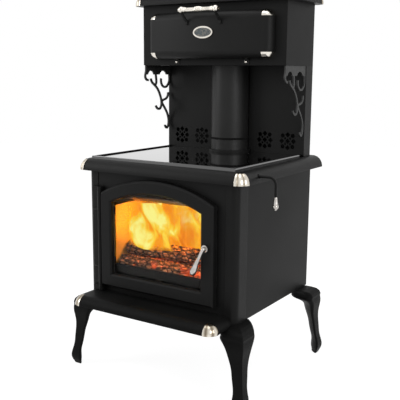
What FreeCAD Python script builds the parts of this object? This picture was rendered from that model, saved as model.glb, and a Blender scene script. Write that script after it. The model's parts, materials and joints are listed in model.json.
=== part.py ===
"""Wood cook stove with a warming closet, as a parametric document in millimetres.

The origin is on the floor under the middle of the casing. X runs to the right of
someone facing the fire door, Y runs to the back and Z runs up.
"""
import FreeCAD, Part
import math
import os
import re
import Sketcher

V = FreeCAD.Vector

# Driving dimensions, one cell each in the sheet
SIZES = {
    # Casing
    "body_width": 660, "body_depth": 593, "leg_height": 289, "case_height": 499, "casing_sheet": 3,
    "front_thickness": 8, "post_width": 45, "post_return": 72, "post_wall": 5,
    "post_proud": 2, "post_round": 24,
    # Cooktop rim and plate
    "rim_height": 44, "rim_side_overhang": 42, "rim_front_overhang": 30,
    "rim_back_overhang": 21, "rim_corner": 46, "rim_round": 42, "rim_deck": 9,
    "rim_ledge_side": 18, "rim_ledge_front": 4, "rim_ledge_back": 12, "rim_wall": 9,
    "rim_hollow": 16, "plate_side_inset": 53.5, "plate_front_inset": 33, "plate_back_inset": 12,
    "plate_thickness": 8, "plate_sunk": 3, "plate_hole_lip": 1, "seat_gap": 0.4,
    "bead_width": 8, "bead_height": 5, "bead_round": 2.5,
    # Firebox
    "firebox_width": 520, "firebox_wall": 5, "firebox_gap": 3,
    "rail_width": 20, "rail_height": 26, "rail_spread": 380, "rail_length": 500,
    "brick_thickness": 32, "brick_joint": 1, "brick_height": 300, "floor_columns": 5,
    "floor_rows": 3, "side_bricks": 3, "back_bricks": 4, "brick_front_gap": 4,
    "tube_radius": 12.5, "tube_wall": 2.5, "tube_pitch": 160, "tube_count": 3,
    "baffle_lift": 335, "baffle_thickness": 25, "baffle_front_gap": 58.5, "baffle_depth": 420,
    "retainer_gap": 6, "retainer_thickness": 8, "retainer_height": 73, "retainer_side_gap": 1,
    # Air control
    "rod_radius": 4.5, "rod_set_back": 83.5, "rod_lift": 22, "rod_inner_gap": 60,
    "rod_stand_out": 35, "rod_bend": 26, "rod_drop": 66, "knob_neck": 5, "knob_length": 45,
    "knob_radius": 10.5, "knob_tip": 4, "knob_tip_root": 7, "knob_shoulder": 8.5, "rod_hole": 7,
    "bushing_outer": 7, "bushing_length": 14,
    "running_gap": 0.05, "duct_depth": 70, "duct_height": 43, "duct_wall": 3,
    "duct_slot": 10, "duct_slot_length": 400, "port_length": 120, "port_width": 24,
    "port_gap": 125, "shutter_length": 170, "shutter_end_gap": 25, "shutter_thickness": 3,
    "shutter_side_gap": 4, "shutter_tab": 8, "moving_gap": 0.4,
    # Ash lip
    "lip_width": 636, "lip_depth": 130, "lip_drop": 7, "lip_height": 35, "lip_corner": 40,
    "lip_round": 33, "lip_wall": 9,
    # Legs
    "shoulder_reach": 12, "shoulder_width": 99, "knee_reach": 58, "knee_width": 99,
    "shin_reach": 54, "shin_width": 68, "calf_width": 52, "ankle_reach": 59, "ankle_width": 45,
    "foot_reach": 68, "foot_width": 53, "sole_reach": 58, "sole_width": 34, "leg_edge": 4,
    "front_leg_tuck": 12, "rear_leg_tuck": 36, "bolt_radius": 5, "bolt_head": 9,
    "bolt_head_height": 7, "bolt_depth": 26, "bolt_inset": 20, "bolt_gap": 0.2,
    # Flue pipe
    "flue_bore": 152.4, "flue_wall": 1.5, "flue_set_back": 82, "flue_stub": 32,
    "collar_height": 10, "collar_width": 9, "band_height": 8, "band_width": 1.5,
    "band_lift": 52, "slip_gap": 0.2,
    # Backsplash and warming closet
    "closet_width": 656, "closet_depth": 239, "closet_inset": 6.5, "closet_lift": 350,
    "closet_height": 237, "closet_sheet": 2, "backsplash_depth": 59, "pipe_gap": 1,
    "rosette_lift": 53, "rosette_inner": 153, "rosette_pitch": 103, "rosette_corner_step": 22,
    "rosette_corner_hole": 8.6, "rosette_diamond_step": 26, "rosette_diamond": 11.2,
    "rosette_small_step": 11.2, "rosette_small_hole": 4.5,
    "divider_gap": 10, "crown_height": 44, "crown_overhang": 33, "crown_corner": 42,
    "crown_round": 40, "crown_top": 10, "crown_wall": 40, "cap_thickness": 1.5, "cap_gap": 0.1,
    # Scroll brackets
    "scroll_inset": 2, "scroll_thickness": 6, "scroll_reach": 176, "scroll_drop": 273,
    "scroll_plate": 38, "scroll_stroke": 9, "scroll_web": 22,
    # Fire door
    "door_width": 506, "door_lift": 56, "door_side": 363, "door_rise": 65,
    "door_border": 51, "door_thickness": 28, "door_gap": 4, "door_outer_bevel": 7,
    "door_inner_bevel": 6, "mouth_lap": 13, "glass_lap": 12, "glass_thickness": 5,
    "glass_tape": 1.5, "glass_play": 0.5, "rope_inset": 2, "rope_width": 9, "rope_gap": 0.3,
    "clip_width": 30, "clip_reach": 24, "clip_thickness": 2, "clip_low": 100, "clip_high": 295,
    # Fire door hinges
    "hinge_out": 12, "hinge_knuckle": 9, "hinge_pin": 5, "hinge_grip": 30, "hinge_height": 20,
    "hinge_drop": 27, "hinge_rise": 1, "hinge_arm": 37, "hinge_web": 8, "hinge_web_margin": 12,
    "cover_width": 32, "cover_left": 18, "cover_lift": 62, "cover_height": 233,
    "cover_thickness": 8, "cover_bevel": 6,
    # Fire door handle and latch
    "latch_lift": 215, "spindle_radius": 6, "tongue_length": 26,
    "tongue_half": 5, "tongue_thickness": 5, "catch_thickness": 4, "catch_width": 11,
    "catch_height": 34, "catch_drop": 38, "boss_radius": 13, "boss_height": 12,
    "lever_length": 108, "lever_lean": 25, "lever_stand_off": 20, "lever_neck": 6,
    "lever_bulb": 12,
    # Warming closet door
    "closet_door_width": 560, "closet_door_height": 179, "closet_door_lift": 25,
    "closet_door_depth": 56, "closet_door_bow": 24, "closet_door_corner": 34,
    "closet_door_round": 30, "door_cap_width": 38, "door_cap_height": 24,
    "closet_door_wall": 2.5, "closet_door_lap": 12, "lug_x": 160, "lug_half": 5,
    "lug_gap": 0.3, "lug_radius": 2.7, "lug_pin": 1.5, "lug_axis_out": 5.5, "lug_axis_drop": 3,
    "leaf_half": 14, "leaf_height": 21, "leaf_thickness": 2, "leaf_screw": 5.5,
    "leaf_screw_drop": 11, "bar_length": 152, "bar_radius": 8, "bar_out": 36, "bar_drop": -3,
    "bar_ball": 12, "bar_ring": 11, "bar_ring_width": 9, "strap_width": 10,
    "strap_thickness": 4, "strap_foot": 15, "strap_drop": 38, "badge_half_width": 44,
    "badge_half_height": 23, "badge_drop": 80, "badge_thickness": 4, "badge_border": 6,
    "badge_inlay": 2.5,
    # Allowance by which a cut runs past the face it opens
    "cut_past": 1,
}

doc = FreeCAD.newDocument("WoodStove")
sheet = doc.addObject("Spreadsheet::Sheet", "Sizes")
for row, (alias, size) in enumerate(SIZES.items(), 1):
    sheet.set(f"A{row}", alias)
    sheet.set(f"B{row}", str(size))
    sheet.setAlias(f"B{row}", alias)
doc.recompute()
WORD = re.compile(r"[a-z][a-z0-9_]*")
NODES = []


def bound(text):
    """The expression with each size name pointing at its cell."""
    def cell(match):
        word = match.group(0)
        return f"Sizes.{word}" if word in SIZES else word
    return WORD.sub(cell, str(text))


def val(text):
    """The expression's value now, for shapes worked out in code."""
    return float(sheet.evalExpression(bound(text)))


def bind(item, prop, text):
    item.setExpression(prop, bound(text))


def node(name, item):
    """Name a finished sub-part."""
    item.Label = name
    NODES.append(item)
    return item


# Places that several sub-parts share
HALF = "(body_width / 2)"
FRONT = "(-body_depth / 2)"
BACK = "(body_depth / 2)"
PANEL_BACK = f"({FRONT} + front_thickness)"
POST_FRONT = f"({FRONT} - post_proud)"
RIM_BOTTOM = "(leg_height + case_height)"
RIM_TOP = f"({RIM_BOTTOM} + rim_height)"
CASE_TOP = f"({RIM_TOP} - rim_deck)"
PLATE_BOTTOM = f"({RIM_TOP} - plate_sunk)"
PLATE_TOP = f"({PLATE_BOTTOM} + plate_thickness)"
RIM_HALF = f"({HALF} + rim_side_overhang)"
RIM_FRONT = f"({FRONT} - rim_front_overhang)"
RIM_BACK = f"({BACK} + rim_back_overhang)"
PLATE_HALF = f"({RIM_HALF} - plate_side_inset)"
PLATE_FRONT = f"({RIM_FRONT} + plate_front_inset)"
PLATE_BACK = f"({RIM_BACK} - plate_back_inset)"
BOX_HALF = "(firebox_width / 2)"
BOX_BACK = f"({BACK} - casing_sheet - firebox_gap)"
BOX_INSIDE = f"({BOX_HALF} - firebox_wall)"
PAN_TOP = "(leg_height + casing_sheet)"
FIREBOX_BOTTOM = f"({PAN_TOP} + rail_height)"
FLOOR = f"({FIREBOX_BOTTOM} + firebox_wall)"
HEARTH = f"({FLOOR} + brick_thickness)"
CLOSET_HALF = "(closet_width / 2)"
CLOSET_BACK = f"({BACK} - closet_inset)"
CLOSET_FRONT = f"({CLOSET_BACK} - closet_depth)"
CLOSET_BOTTOM = f"({PLATE_TOP} + closet_lift)"
CLOSET_TOP = f"({CLOSET_BOTTOM} + closet_height)"
SPLASH_FRONT = f"({CLOSET_BACK} - backsplash_depth)"
PIPE_Y = f"({CLOSET_BACK} - flue_set_back)"
PIPE_OUTER = "(flue_bore / 2 + flue_wall)"
CROWN_TOP = f"({CLOSET_TOP} + crown_height)"
DOOR_BOTTOM = "(leg_height + door_lift)"
DOOR_SPRING = f"({DOOR_BOTTOM} + door_side)"
DOOR_BACK = f"({FRONT} - door_gap)"
DOOR_FACE = f"({DOOR_BACK} - door_thickness)"
DOOR_HALF = "(door_width / 2)"
ARCH_RADIUS = f"(({DOOR_HALF} ^ 2 + door_rise ^ 2) / (2 * door_rise))"
ARCH_CENTRE = f"({DOOR_SPRING} + door_rise - {ARCH_RADIUS})"
HINGE_X = f"(-{DOOR_HALF} - hinge_out)"
HINGE_Y = f"({DOOR_BACK} - door_thickness / 2)"
LOW_HINGE_BOTTOM = f"({DOOR_BOTTOM} - hinge_drop)"
LOW_HINGE_TOP = f"({LOW_HINGE_BOTTOM} + hinge_height)"
HIGH_HINGE_BOTTOM = f"({DOOR_SPRING} + hinge_rise)"
CLOSET_DOOR_HALF = "(closet_door_width / 2)"
CLOSET_DOOR_BOTTOM = f"({CLOSET_BOTTOM} + closet_door_lift)"
CLOSET_DOOR_TOP = f"({CLOSET_DOOR_BOTTOM} + closet_door_height)"
CLOSET_DOOR_BACK = f"({CLOSET_FRONT} - lug_gap)"
CLOSET_DOOR_FACE = f"({CLOSET_FRONT} - closet_door_depth)"
LIP_BACK = POST_FRONT
LIP_FRONT = f"({LIP_BACK} - lip_depth)"
LIP_HALF = "(lip_width / 2)"
LIP_BOTTOM = "(leg_height - lip_drop)"
LIP_TOP = f"({LIP_BOTTOM} + lip_height)"


def minus(text):
    return f"(-({text}))"


def both(text):
    """A span from minus to plus the given half-width."""
    return minus(text), text


# Solids and booleans
def box(name, x, y, z):
    """A block between the low and high ends given for each axis."""
    item = doc.addObject("Part::Box", name)
    for size, letter, (low, high) in (("Length", "x", x), ("Width", "y", y), ("Height", "z", z)):
        bind(item, size, f"({high}) - ({low})")
        bind(item, f"Placement.Base.{letter}", low)
    return item


TURNS = {
    "X": FreeCAD.Rotation(V(0, 1, 0), 90),
    "Y": FreeCAD.Rotation(V(1, 0, 0), -90),
    "Z": FreeCAD.Rotation(),
}


def along(axis, centre, start):
    """Put the start of an axis and its two other coordinates in X, Y, Z order."""
    spots = list(centre)
    spots.insert("XYZ".index(axis), start)
    return spots


def place(item, spots, turn):
    item.Placement = FreeCAD.Placement(V(), turn)
    for letter, spot in zip("xyz", spots):
        bind(item, f"Placement.Base.{letter}", spot)


def round_bar(name, axis, centre, radius, low, high):
    item = doc.addObject("Part::Cylinder", name)
    place(item, along(axis, centre, low), TURNS[axis])
    bind(item, "Radius", radius)
    bind(item, "Height", f"({high}) - ({low})")
    return item


def cone(name, axis, centre, start_radius, end_radius, low, high):
    item = doc.addObject("Part::Cone", name)
    place(item, along(axis, centre, low), TURNS[axis])
    bind(item, "Radius1", start_radius)
    bind(item, "Radius2", end_radius)
    bind(item, "Height", f"({high}) - ({low})")
    return item


def ball(name, spots, radius):
    item = doc.addObject("Part::Sphere", name)
    place(item, spots, TURNS["Z"])
    bind(item, "Radius", radius)
    return item


def fuse(name, *items):
    item = doc.addObject("Part::MultiFuse", name)
    item.Shapes = list(items)
    item.Refine = True
    return item


def cut(name, base, *tools):
    item = doc.addObject("Part::Cut", name)
    item.Base = base
    item.Tool = tools[0] if len(tools) == 1 else group(f"{name}_tools", *tools)
    return item


def common(name, base, tool):
    item = doc.addObject("Part::Common", name)
    item.Base = base
    item.Tool = tool
    return item


def group(name, *items):
    item = doc.addObject("Part::Compound", name)
    item.Links = list(items)
    return item


def mirrored(name, item):
    """The same piece on the other side of the stove's middle plane."""
    other = doc.addObject("Part::Mirroring", name)
    other.Source = item
    other.Base = V()
    other.Normal = V(1, 0, 0)
    return other


def pipe(name, axis, centre, outer, inner, low, high):
    past = "cut_past"
    wall = round_bar(f"{name}_outside", axis, centre, outer, low, high)
    bore = round_bar(f"{name}_bore", axis, centre, inner, f"{low} - {past}", f"{high} + {past}")
    return cut(name, wall, bore)


# Sketched bodies
def rectangle(u, v):
    return [(u[0], v[0]), (u[1], v[0]), (u[1], v[1]), (u[0], v[1])]


def diamond(u, v, reach):
    return [(f"{u} - {reach}", v), (u, f"{v} - {reach}"), (f"{u} + {reach}", v), (u, f"{v} + {reach}")]


def arch(inset):
    """The fire door's arched outline, moved inwards by the inset."""
    half = f"({DOOR_HALF} - ({inset}))"
    low = f"({DOOR_BOTTOM} + ({inset}))"
    radius = f"({ARCH_RADIUS} - ({inset}))"
    spring = f"({ARCH_CENTRE} + sqrt({radius} ^ 2 - {half} ^ 2))"
    return [(minus(half), low), (half, low), (half, spring, radius), (minus(half), spring)]


def left_arc(start, end, radius):
    """The arc from start to end that turns left, with the given radius."""
    chord = end - start
    left = V(-chord.y, chord.x, 0).normalize()
    rise = math.sqrt(max(radius ** 2 - chord.Length ** 2 / 4, 0))
    centre = start + chord * 0.5 + left * rise
    return Part.Arc(start, centre - left * radius, end)


def draw(sketch, loops):
    """Draw closed loops whose corners are held by sizes.

    A loop is a list of corners, anticlockwise, or the word circle with a centre and a
    radius. A corner's third value is the radius of the arc to the next corner, and its
    fourth is the word hollow where that arc turns right.
    """
    holds = []
    laws = []

    def hold(kind, law, *spots):
        rule = Sketcher.Constraint(kind, *spots, val(law))
        rule.Name = f"size{len(laws)}"
        holds.append(rule)
        laws.append((rule.Name, law))

    for loop in loops:
        if loop[0] == "circle":
            u, v, radius = loop[1:]
            circle = Part.Circle(V(val(u), val(v), 0), V(0, 0, 1), val(radius))
            index = sketch.addGeometry(circle, False)
            hold("DistanceX", u, -1, 1, index, 3)
            hold("DistanceY", v, -1, 1, index, 3)
            hold("Radius", radius, index)
            continue
        spots = [V(val(corner[0]), val(corner[1]), 0) for corner in loop]
        starts = []
        ends = []
        for k, corner in enumerate(loop):
            start = spots[k]
            end = spots[(k + 1) % len(loop)]
            hollow = corner[-1] == "hollow"
            if hollow:
                edge = left_arc(end, start, val(corner[2]))
            elif len(corner) == 3:
                edge = left_arc(start, end, val(corner[2]))
            else:
                edge = Part.LineSegment(start, end)
            index = sketch.addGeometry(edge, False)
            starts.append((index, 2 if hollow else 1))
            ends.append((index, 1 if hollow else 2))
        for k, corner in enumerate(loop):
            after = starts[(k + 1) % len(loop)]
            holds.append(Sketcher.Constraint("Coincident", *ends[k], *after))
            hold("DistanceX", corner[0], -1, 1, *starts[k])
            hold("DistanceY", corner[1], -1, 1, *starts[k])
            if len(corner) > 2:
                hold("Radius", corner[2], starts[k][0])
    sketch.addConstraint(holds)
    for name, law in laws:
        bind(sketch, f"Constraints.{name}", law)


def new_sketch(body, name, plane, level, loops):
    sketch = body.newObject("Sketcher::SketchObject", name)
    support = next(part for part in body.Origin.OriginFeatures if part.Role == f"{plane}_Plane")
    sketch.AttachmentSupport = (support, [""])
    sketch.MapMode = "FlatFace"
    bind(sketch, "AttachmentOffset.Base.z", minus(level) if plane == "XZ" else level)
    draw(sketch, loops)
    return sketch


def pad(name, plane, loops, low, high):
    """A body padded from its sketch between two levels across the plane.

    An XZ sketch faces -Y, so it stands at the high end and pads towards the low one.
    """
    body = doc.addObject("PartDesign::Body", name)
    level = high if plane == "XZ" else low
    feature_sketch = new_sketch(body, f"{name}_sketch", plane, level, loops)
    feature = body.newObject("PartDesign::Pad", f"{name}_pad")
    feature.Profile = feature_sketch
    bind(feature, "Length", f"({high}) - ({low})")
    return body


def dress(body, kind, picked, size):
    """Round or bevel the picked edges of a body's last feature."""
    doc.recompute()
    base = body.Tip
    names = [f"Edge{k}" for k, edge in enumerate(base.Shape.Edges, 1) if picked(edge)]
    feature = body.newObject(f"PartDesign::{kind}", f"{body.Name}_{kind}")
    feature.Base = (base, names)
    bind(feature, "Radius" if kind == "Fillet" else "Size", size)


def level_at(edge, axis, spot):
    """Whether an edge lies in the plane across an axis at the given coordinate."""
    limits = edge.BoundBox
    low = (limits.XMin, limits.YMin, limits.ZMin)[axis]
    high = (limits.XMax, limits.YMax, limits.ZMax)[axis]
    return abs(low - spot) < 0.01 and abs(high - spot) < 0.01


def runs_along(edge, axis):
    """Whether a straight edge runs along the given axis."""
    middle = edge.CenterOfMass
    others = [k for k in range(3) if k != axis]
    return all(level_at(edge, k, middle[k]) for k in others)


def pillow(name, x, y, z, corner, edge_round, grow, flat_back):
    """A block with rounded upright corners and a rounded top rim, grown on those sides.

    With a flat back, only the front corners and the rims beside them are rounded.
    """
    x = (f"({x[0]} - ({grow}))", f"({x[1]} + ({grow}))")
    front = f"({y[0]} - ({grow}))"
    back = y[1] if flat_back else f"({y[1]} + ({grow}))"
    top = f"({z[1]} + ({grow}))"
    body = pad(name, "XY", [rectangle(x, (front, back))], z[0], top)

    def rounded(edge):
        return not (flat_back and level_at(edge, 1, val(back)))

    dress(body, "Fillet", lambda edge: runs_along(edge, 2) and rounded(edge), f"{corner} + ({grow})")
    dress(
        body,
        "Fillet",
        lambda edge: level_at(edge, 2, val(top)) and rounded(edge),
        f"{edge_round} + ({grow})",
    )
    return body


def corner_caps(name, grown, zones):
    """Thin caps over rounded corners: a shell between two grown copies, kept in each zone."""
    outside = grown(f"{name}_outside", "cap_gap + cap_thickness")
    inside = grown(f"{name}_inside", "cap_gap")
    shell = cut(f"{name}_shell", outside, inside)
    blocks = [box(f"{name}_zone{k}", *zone) for k, zone in enumerate(zones)]
    return common(name, shell, group(f"{name}_zones", *blocks))


def mirror_span(span):
    return minus(span[1]), minus(span[0])


# Casing: bottom pan, side and back sheets, cast front and rounded corner posts
BOLT_X = f"({HALF} - bolt_inset)"
FRONT_BOLT_Y = f"({FRONT} + bolt_inset + front_leg_tuck)"
REAR_BOLT_Y = f"({BACK} - bolt_inset - rear_leg_tuck / 2)"
BOLTS = [(side, y) for side in (minus(BOLT_X), BOLT_X) for y in (FRONT_BOLT_Y, REAR_BOLT_Y)]
INNER_HALF = f"({HALF} - casing_sheet)"
PAN_BACK = f"({BACK} - casing_sheet)"
PAN_CORNER = (f"({INNER_HALF} - post_round + post_wall)", f"({POST_FRONT} + post_round)")
pan_outline = [
    (minus(PAN_CORNER[0]), PANEL_BACK),
    (PAN_CORNER[0], PANEL_BACK),
    (INNER_HALF, PAN_CORNER[1]),
    (INNER_HALF, PAN_BACK),
    (minus(INNER_HALF), PAN_BACK),
    (minus(INNER_HALF), PAN_CORNER[1]),
]
pan_blank = pad("pan_blank", "XY", [pan_outline], "leg_height", PAN_TOP)
pan_holes = [
    round_bar(
        f"pan_hole{k}",
        "Z",
        spot,
        "bolt_radius + bolt_gap",
        "leg_height - cut_past",
        f"{PAN_TOP} + cut_past",
    )
    for k, spot in enumerate(BOLTS)
]
node("bottom_pan", cut("bottom_pan", pan_blank, *pan_holes))

SIDE_Y = (f"{FRONT} + post_return", BACK)
CASE_Z = ("leg_height", CASE_TOP)
node("left_side_panel", box("left_side_panel", (minus(HALF), minus(INNER_HALF)), SIDE_Y, CASE_Z))
right_blank = box("right_blank", (INNER_HALF, HALF), SIDE_Y, CASE_Z)
ROD_Y = f"({FRONT} + rod_set_back)"
ROD_Z = f"({RIM_BOTTOM} + rod_lift)"
ROD_LINE = (ROD_Y, ROD_Z)
bushing_seat = round_bar(
    "bushing_seat",
    "X",
    ROD_LINE,
    "bushing_outer",
    f"{INNER_HALF} - cut_past",
    f"{HALF} + cut_past",
)
node("right_side_panel", cut("right_side_panel", right_blank, bushing_seat))
node("back_panel", box("back_panel", both(INNER_HALF), (f"{BACK} - casing_sheet", BACK), CASE_Z))

PANEL_HALF = f"({HALF} - post_width)"
panel_loops = [rectangle(both(PANEL_HALF), CASE_Z), arch("mouth_lap")]
node("front_panel", pad("front_panel", "XZ", panel_loops, FRONT, PANEL_BACK))

POST_HALF = f"({HALF} + post_proud)"
post_outline = [
    (PANEL_HALF, POST_FRONT),
    (f"{POST_HALF} - post_round", POST_FRONT, "post_round"),
    (POST_HALF, f"{POST_FRONT} + post_round"),
    (POST_HALF, f"{FRONT} + post_return"),
    (f"{POST_HALF} - post_wall", f"{FRONT} + post_return"),
    (f"{POST_HALF} - post_wall", f"{POST_FRONT} + post_round", "post_round - post_wall", "hollow"),
    (f"{POST_HALF} - post_round", f"{POST_FRONT} + post_wall"),
    (PANEL_HALF, f"{POST_FRONT} + post_wall"),
]
right_post = node("right_front_post", pad("right_front_post", "XY", [post_outline], "leg_height", CASE_TOP))
node("left_front_post", mirrored("left_front_post", right_post))

# Firebox: welded shell on two rails, brick lining, baffle, air tubes and log retainer
shell_blank = box("shell_blank", both(BOX_HALF), (PANEL_BACK, BOX_BACK), (FIREBOX_BOTTOM, PLATE_BOTTOM))
shell_hollow = box(
    "shell_hollow",
    both(BOX_INSIDE),
    (f"{PANEL_BACK} - cut_past", f"{BOX_BACK} - firebox_wall"),
    (FLOOR, f"{PLATE_BOTTOM} + cut_past"),
)
shell_rod_hole = round_bar(
    "shell_rod_hole",
    "X",
    ROD_LINE,
    "rod_hole",
    f"{BOX_INSIDE} - cut_past",
    f"{BOX_HALF} + cut_past",
)
node("firebox_shell", cut("firebox_shell", shell_blank, shell_hollow, shell_rod_hole))

RAIL_Y = both("rail_length / 2")
RAIL_Z = (PAN_TOP, FIREBOX_BOTTOM)
rails = [
    box(f"rail{k}", (f"{middle} - rail_width / 2", f"{middle} + rail_width / 2"), RAIL_Y, RAIL_Z)
    for k, middle in enumerate(both("rail_spread / 2"))
]
node("firebox_rails", group("firebox_rails", *rails))


def share(low, high, count, k):
    """The span of brick k when equal bricks and their joints fill a length."""
    pitch = f"((({high}) - ({low}) + brick_joint) / {count})"
    start = f"(({low}) + {k} * {pitch})"
    return start, f"({start} + {pitch} - brick_joint)"


BRICK_FRONT = f"({PANEL_BACK} + brick_front_gap)"
BRICK_BACK = f"({BOX_BACK} - firebox_wall)"
LINING_FRONT = f"({BRICK_FRONT} + retainer_gap + retainer_thickness)"
LINING_BACK = f"({BRICK_BACK} - brick_thickness - brick_joint)"
WALL_Z = (HEARTH, f"{HEARTH} + brick_height")
columns = int(val("floor_columns"))
rows = int(val("floor_rows"))
floor_bricks = [
    box(
        f"floor_brick{i}_{j}",
        share(minus(BOX_INSIDE), BOX_INSIDE, "floor_columns", i),
        share(BRICK_FRONT, BRICK_BACK, "floor_rows", j),
        (FLOOR, HEARTH),
    )
    for i in range(columns)
    for j in range(rows)
]
node("floor_bricks", group("floor_bricks", *floor_bricks))
LINING_HALF = f"({BOX_INSIDE} - brick_thickness)"
side_bricks = [
    box(f"{side}_brick{k}", x, share(LINING_FRONT, LINING_BACK, "side_bricks", k), WALL_Z)
    for side, x in (("left", (minus(BOX_INSIDE), minus(LINING_HALF))), ("right", (LINING_HALF, BOX_INSIDE)))
    for k in range(int(val("side_bricks")))
]
back_bricks = [
    box(
        f"back_brick{k}",
        share(minus(BOX_INSIDE), BOX_INSIDE, "back_bricks", k),
        (f"{BRICK_BACK} - brick_thickness", BRICK_BACK),
        WALL_Z,
    )
    for k in range(int(val("back_bricks")))
]
node("wall_bricks", group("wall_bricks", *side_bricks, *back_bricks))

BAFFLE_FRONT = f"({PANEL_BACK} + baffle_front_gap)"
BAFFLE_BOTTOM = f"({HEARTH} + baffle_lift)"
BAFFLE_Y = (BAFFLE_FRONT, f"{BAFFLE_FRONT} + baffle_depth")
BAFFLE_Z = (BAFFLE_BOTTOM, f"{BAFFLE_BOTTOM} + baffle_thickness")
TUBE_MIDDLE = f"({BAFFLE_FRONT} + baffle_depth / 2)"
tubes = [
    pipe(
        f"air_tube{k}",
        "X",
        (f"{TUBE_MIDDLE} + ({k} - (tube_count - 1) / 2) * tube_pitch", f"{BAFFLE_BOTTOM} - tube_radius"),
        "tube_radius",
        "tube_radius - tube_wall",
        minus(BOX_INSIDE),
        BOX_INSIDE,
    )
    for k in range(int(val("tube_count")))
]
node("air_tubes", group("air_tubes", *tubes))
boards = [
    box(f"baffle_board{k}", share(minus(BOX_INSIDE), BOX_INSIDE, 2, k), BAFFLE_Y, BAFFLE_Z)
    for k in range(2)
]
node("baffle_boards", group("baffle_boards", *boards))
RETAINER_FRONT = f"({BRICK_FRONT} + retainer_gap / 2)"
RETAINER_Y = (RETAINER_FRONT, f"{RETAINER_FRONT} + retainer_thickness")
RETAINER_Z = (HEARTH, f"{HEARTH} + retainer_height")
RETAINER_X = both(f"({LINING_HALF} - retainer_side_gap)")
node("log_retainer", box("log_retainer", RETAINER_X, RETAINER_Y, RETAINER_Z))

# Air control: duct under the cooktop, sliding shutter, bent rod, bushing and knob
DUCT_Y = (f"({ROD_Y} - duct_depth / 2)", f"({ROD_Y} + duct_depth / 2)")
DUCT_BOTTOM = f"({PLATE_BOTTOM} - duct_height)"
DUCT_FLOOR = f"({DUCT_BOTTOM} + duct_wall)"
duct_blank = box("duct_blank", both(BOX_INSIDE), DUCT_Y, (DUCT_BOTTOM, PLATE_BOTTOM))
duct_hollow = box(
    "duct_hollow",
    both(f"{BOX_INSIDE} + cut_past"),
    (f"{DUCT_Y[0]} + duct_wall", f"{DUCT_Y[1]} - duct_wall"),
    (DUCT_FLOOR, f"{PLATE_BOTTOM} - duct_wall"),
)
DUCT_CUT_Z = (f"{DUCT_BOTTOM} - cut_past", f"{DUCT_FLOOR} + cut_past")
duct_slot = box(
    "duct_slot",
    both("duct_slot_length / 2"),
    (f"{DUCT_Y[0]} + duct_wall", f"{DUCT_Y[0]} + duct_wall + duct_slot"),
    DUCT_CUT_Z,
)
PORT_MIDDLE = f"({BOX_INSIDE} - port_gap)"
duct_port = box(
    "duct_port",
    (f"{PORT_MIDDLE} - port_length / 2", f"{PORT_MIDDLE} + port_length / 2"),
    (f"{ROD_Y} - port_width / 2", f"{ROD_Y} + port_width / 2"),
    DUCT_CUT_Z,
)
node("air_duct", cut("air_duct", duct_blank, duct_hollow, duct_slot, duct_port))

SHUTTER_BOTTOM = f"({DUCT_FLOOR} + moving_gap)"
SHUTTER_TOP = f"({SHUTTER_BOTTOM} + shutter_thickness)"
SHUTTER_RIGHT = f"({BOX_INSIDE} - shutter_end_gap)"
shutter_plate = box(
    "shutter_plate",
    (f"{SHUTTER_RIGHT} - shutter_length", SHUTTER_RIGHT),
    (f"{DUCT_Y[0]} + duct_wall + shutter_side_gap", f"{DUCT_Y[1]} - duct_wall - shutter_side_gap"),
    (SHUTTER_BOTTOM, SHUTTER_TOP),
)
ROD_START = f"({BOX_INSIDE} - rod_inner_gap)"
shutter_tab = box(
    "shutter_tab",
    (f"{ROD_START} - shutter_tab", ROD_START),
    (f"{ROD_Y} - shutter_tab", f"{ROD_Y} + shutter_tab"),
    (SHUTTER_BOTTOM, f"{ROD_Z} + rod_radius"),
)
node("air_shutter", fuse("air_shutter", shutter_plate, shutter_tab))

ROD_REACH = f"({RIM_HALF} + rod_stand_out)"
rod_straight = round_bar("rod_straight", "X", ROD_LINE, "rod_radius", ROD_START, ROD_REACH)
rod_corner = doc.addObject("Part::Torus", "rod_corner")
place(rod_corner, (ROD_REACH, ROD_Y, f"{ROD_Z} - rod_bend"), FreeCAD.Rotation(V(1, 0, 0), 90))
bind(rod_corner, "Radius1", "rod_bend")
bind(rod_corner, "Radius2", "rod_radius")
rod_corner.Angle3 = 90
KNOB_LINE = (f"({ROD_REACH} + rod_bend)", ROD_Y)
KNOB_TOP = f"({ROD_Z} - rod_drop)"
rod_down = round_bar("rod_down", "Z", KNOB_LINE, "rod_radius", KNOB_TOP, f"{ROD_Z} - rod_bend")
node("air_rod", fuse("air_rod", rod_straight, rod_corner, rod_down))
KNOB_BALL = f"({KNOB_TOP} - knob_length + knob_tip / 2 + knob_radius)"
NECK_Z = (f"{KNOB_BALL} + sqrt(knob_radius ^ 2 - knob_shoulder ^ 2)", KNOB_TOP)
knob_neck = cone("knob_neck", "Z", KNOB_LINE, "knob_shoulder", "knob_neck", *NECK_Z)
knob_ball = ball("knob_ball", (*KNOB_LINE, KNOB_BALL), "knob_radius")
TIP_Z = (f"{KNOB_TOP} - knob_length", f"{KNOB_BALL} - knob_radius / 2")
knob_tip = cone("knob_tip_cone", "Z", KNOB_LINE, "knob_tip", "knob_tip_root", *TIP_Z)
node("air_knob", fuse("air_knob", knob_neck, knob_ball, knob_tip))
bushing_start = f"({INNER_HALF} - bushing_length / 2)"
bushing = pipe(
    "rod_bushing",
    "X",
    ROD_LINE,
    "bushing_outer",
    "rod_radius + running_gap",
    bushing_start,
    f"{bushing_start} + bushing_length",
)
node("rod_bushing", bushing)

# Cooktop: moulded rim round three sides, cooking plate and nickel corner caps
RIM_Z = (RIM_BOTTOM, RIM_TOP)


def rim_block(name, grow):
    return pillow(name, both(RIM_HALF), (RIM_FRONT, RIM_BACK), RIM_Z, "rim_corner", "rim_round", grow, True)


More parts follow.
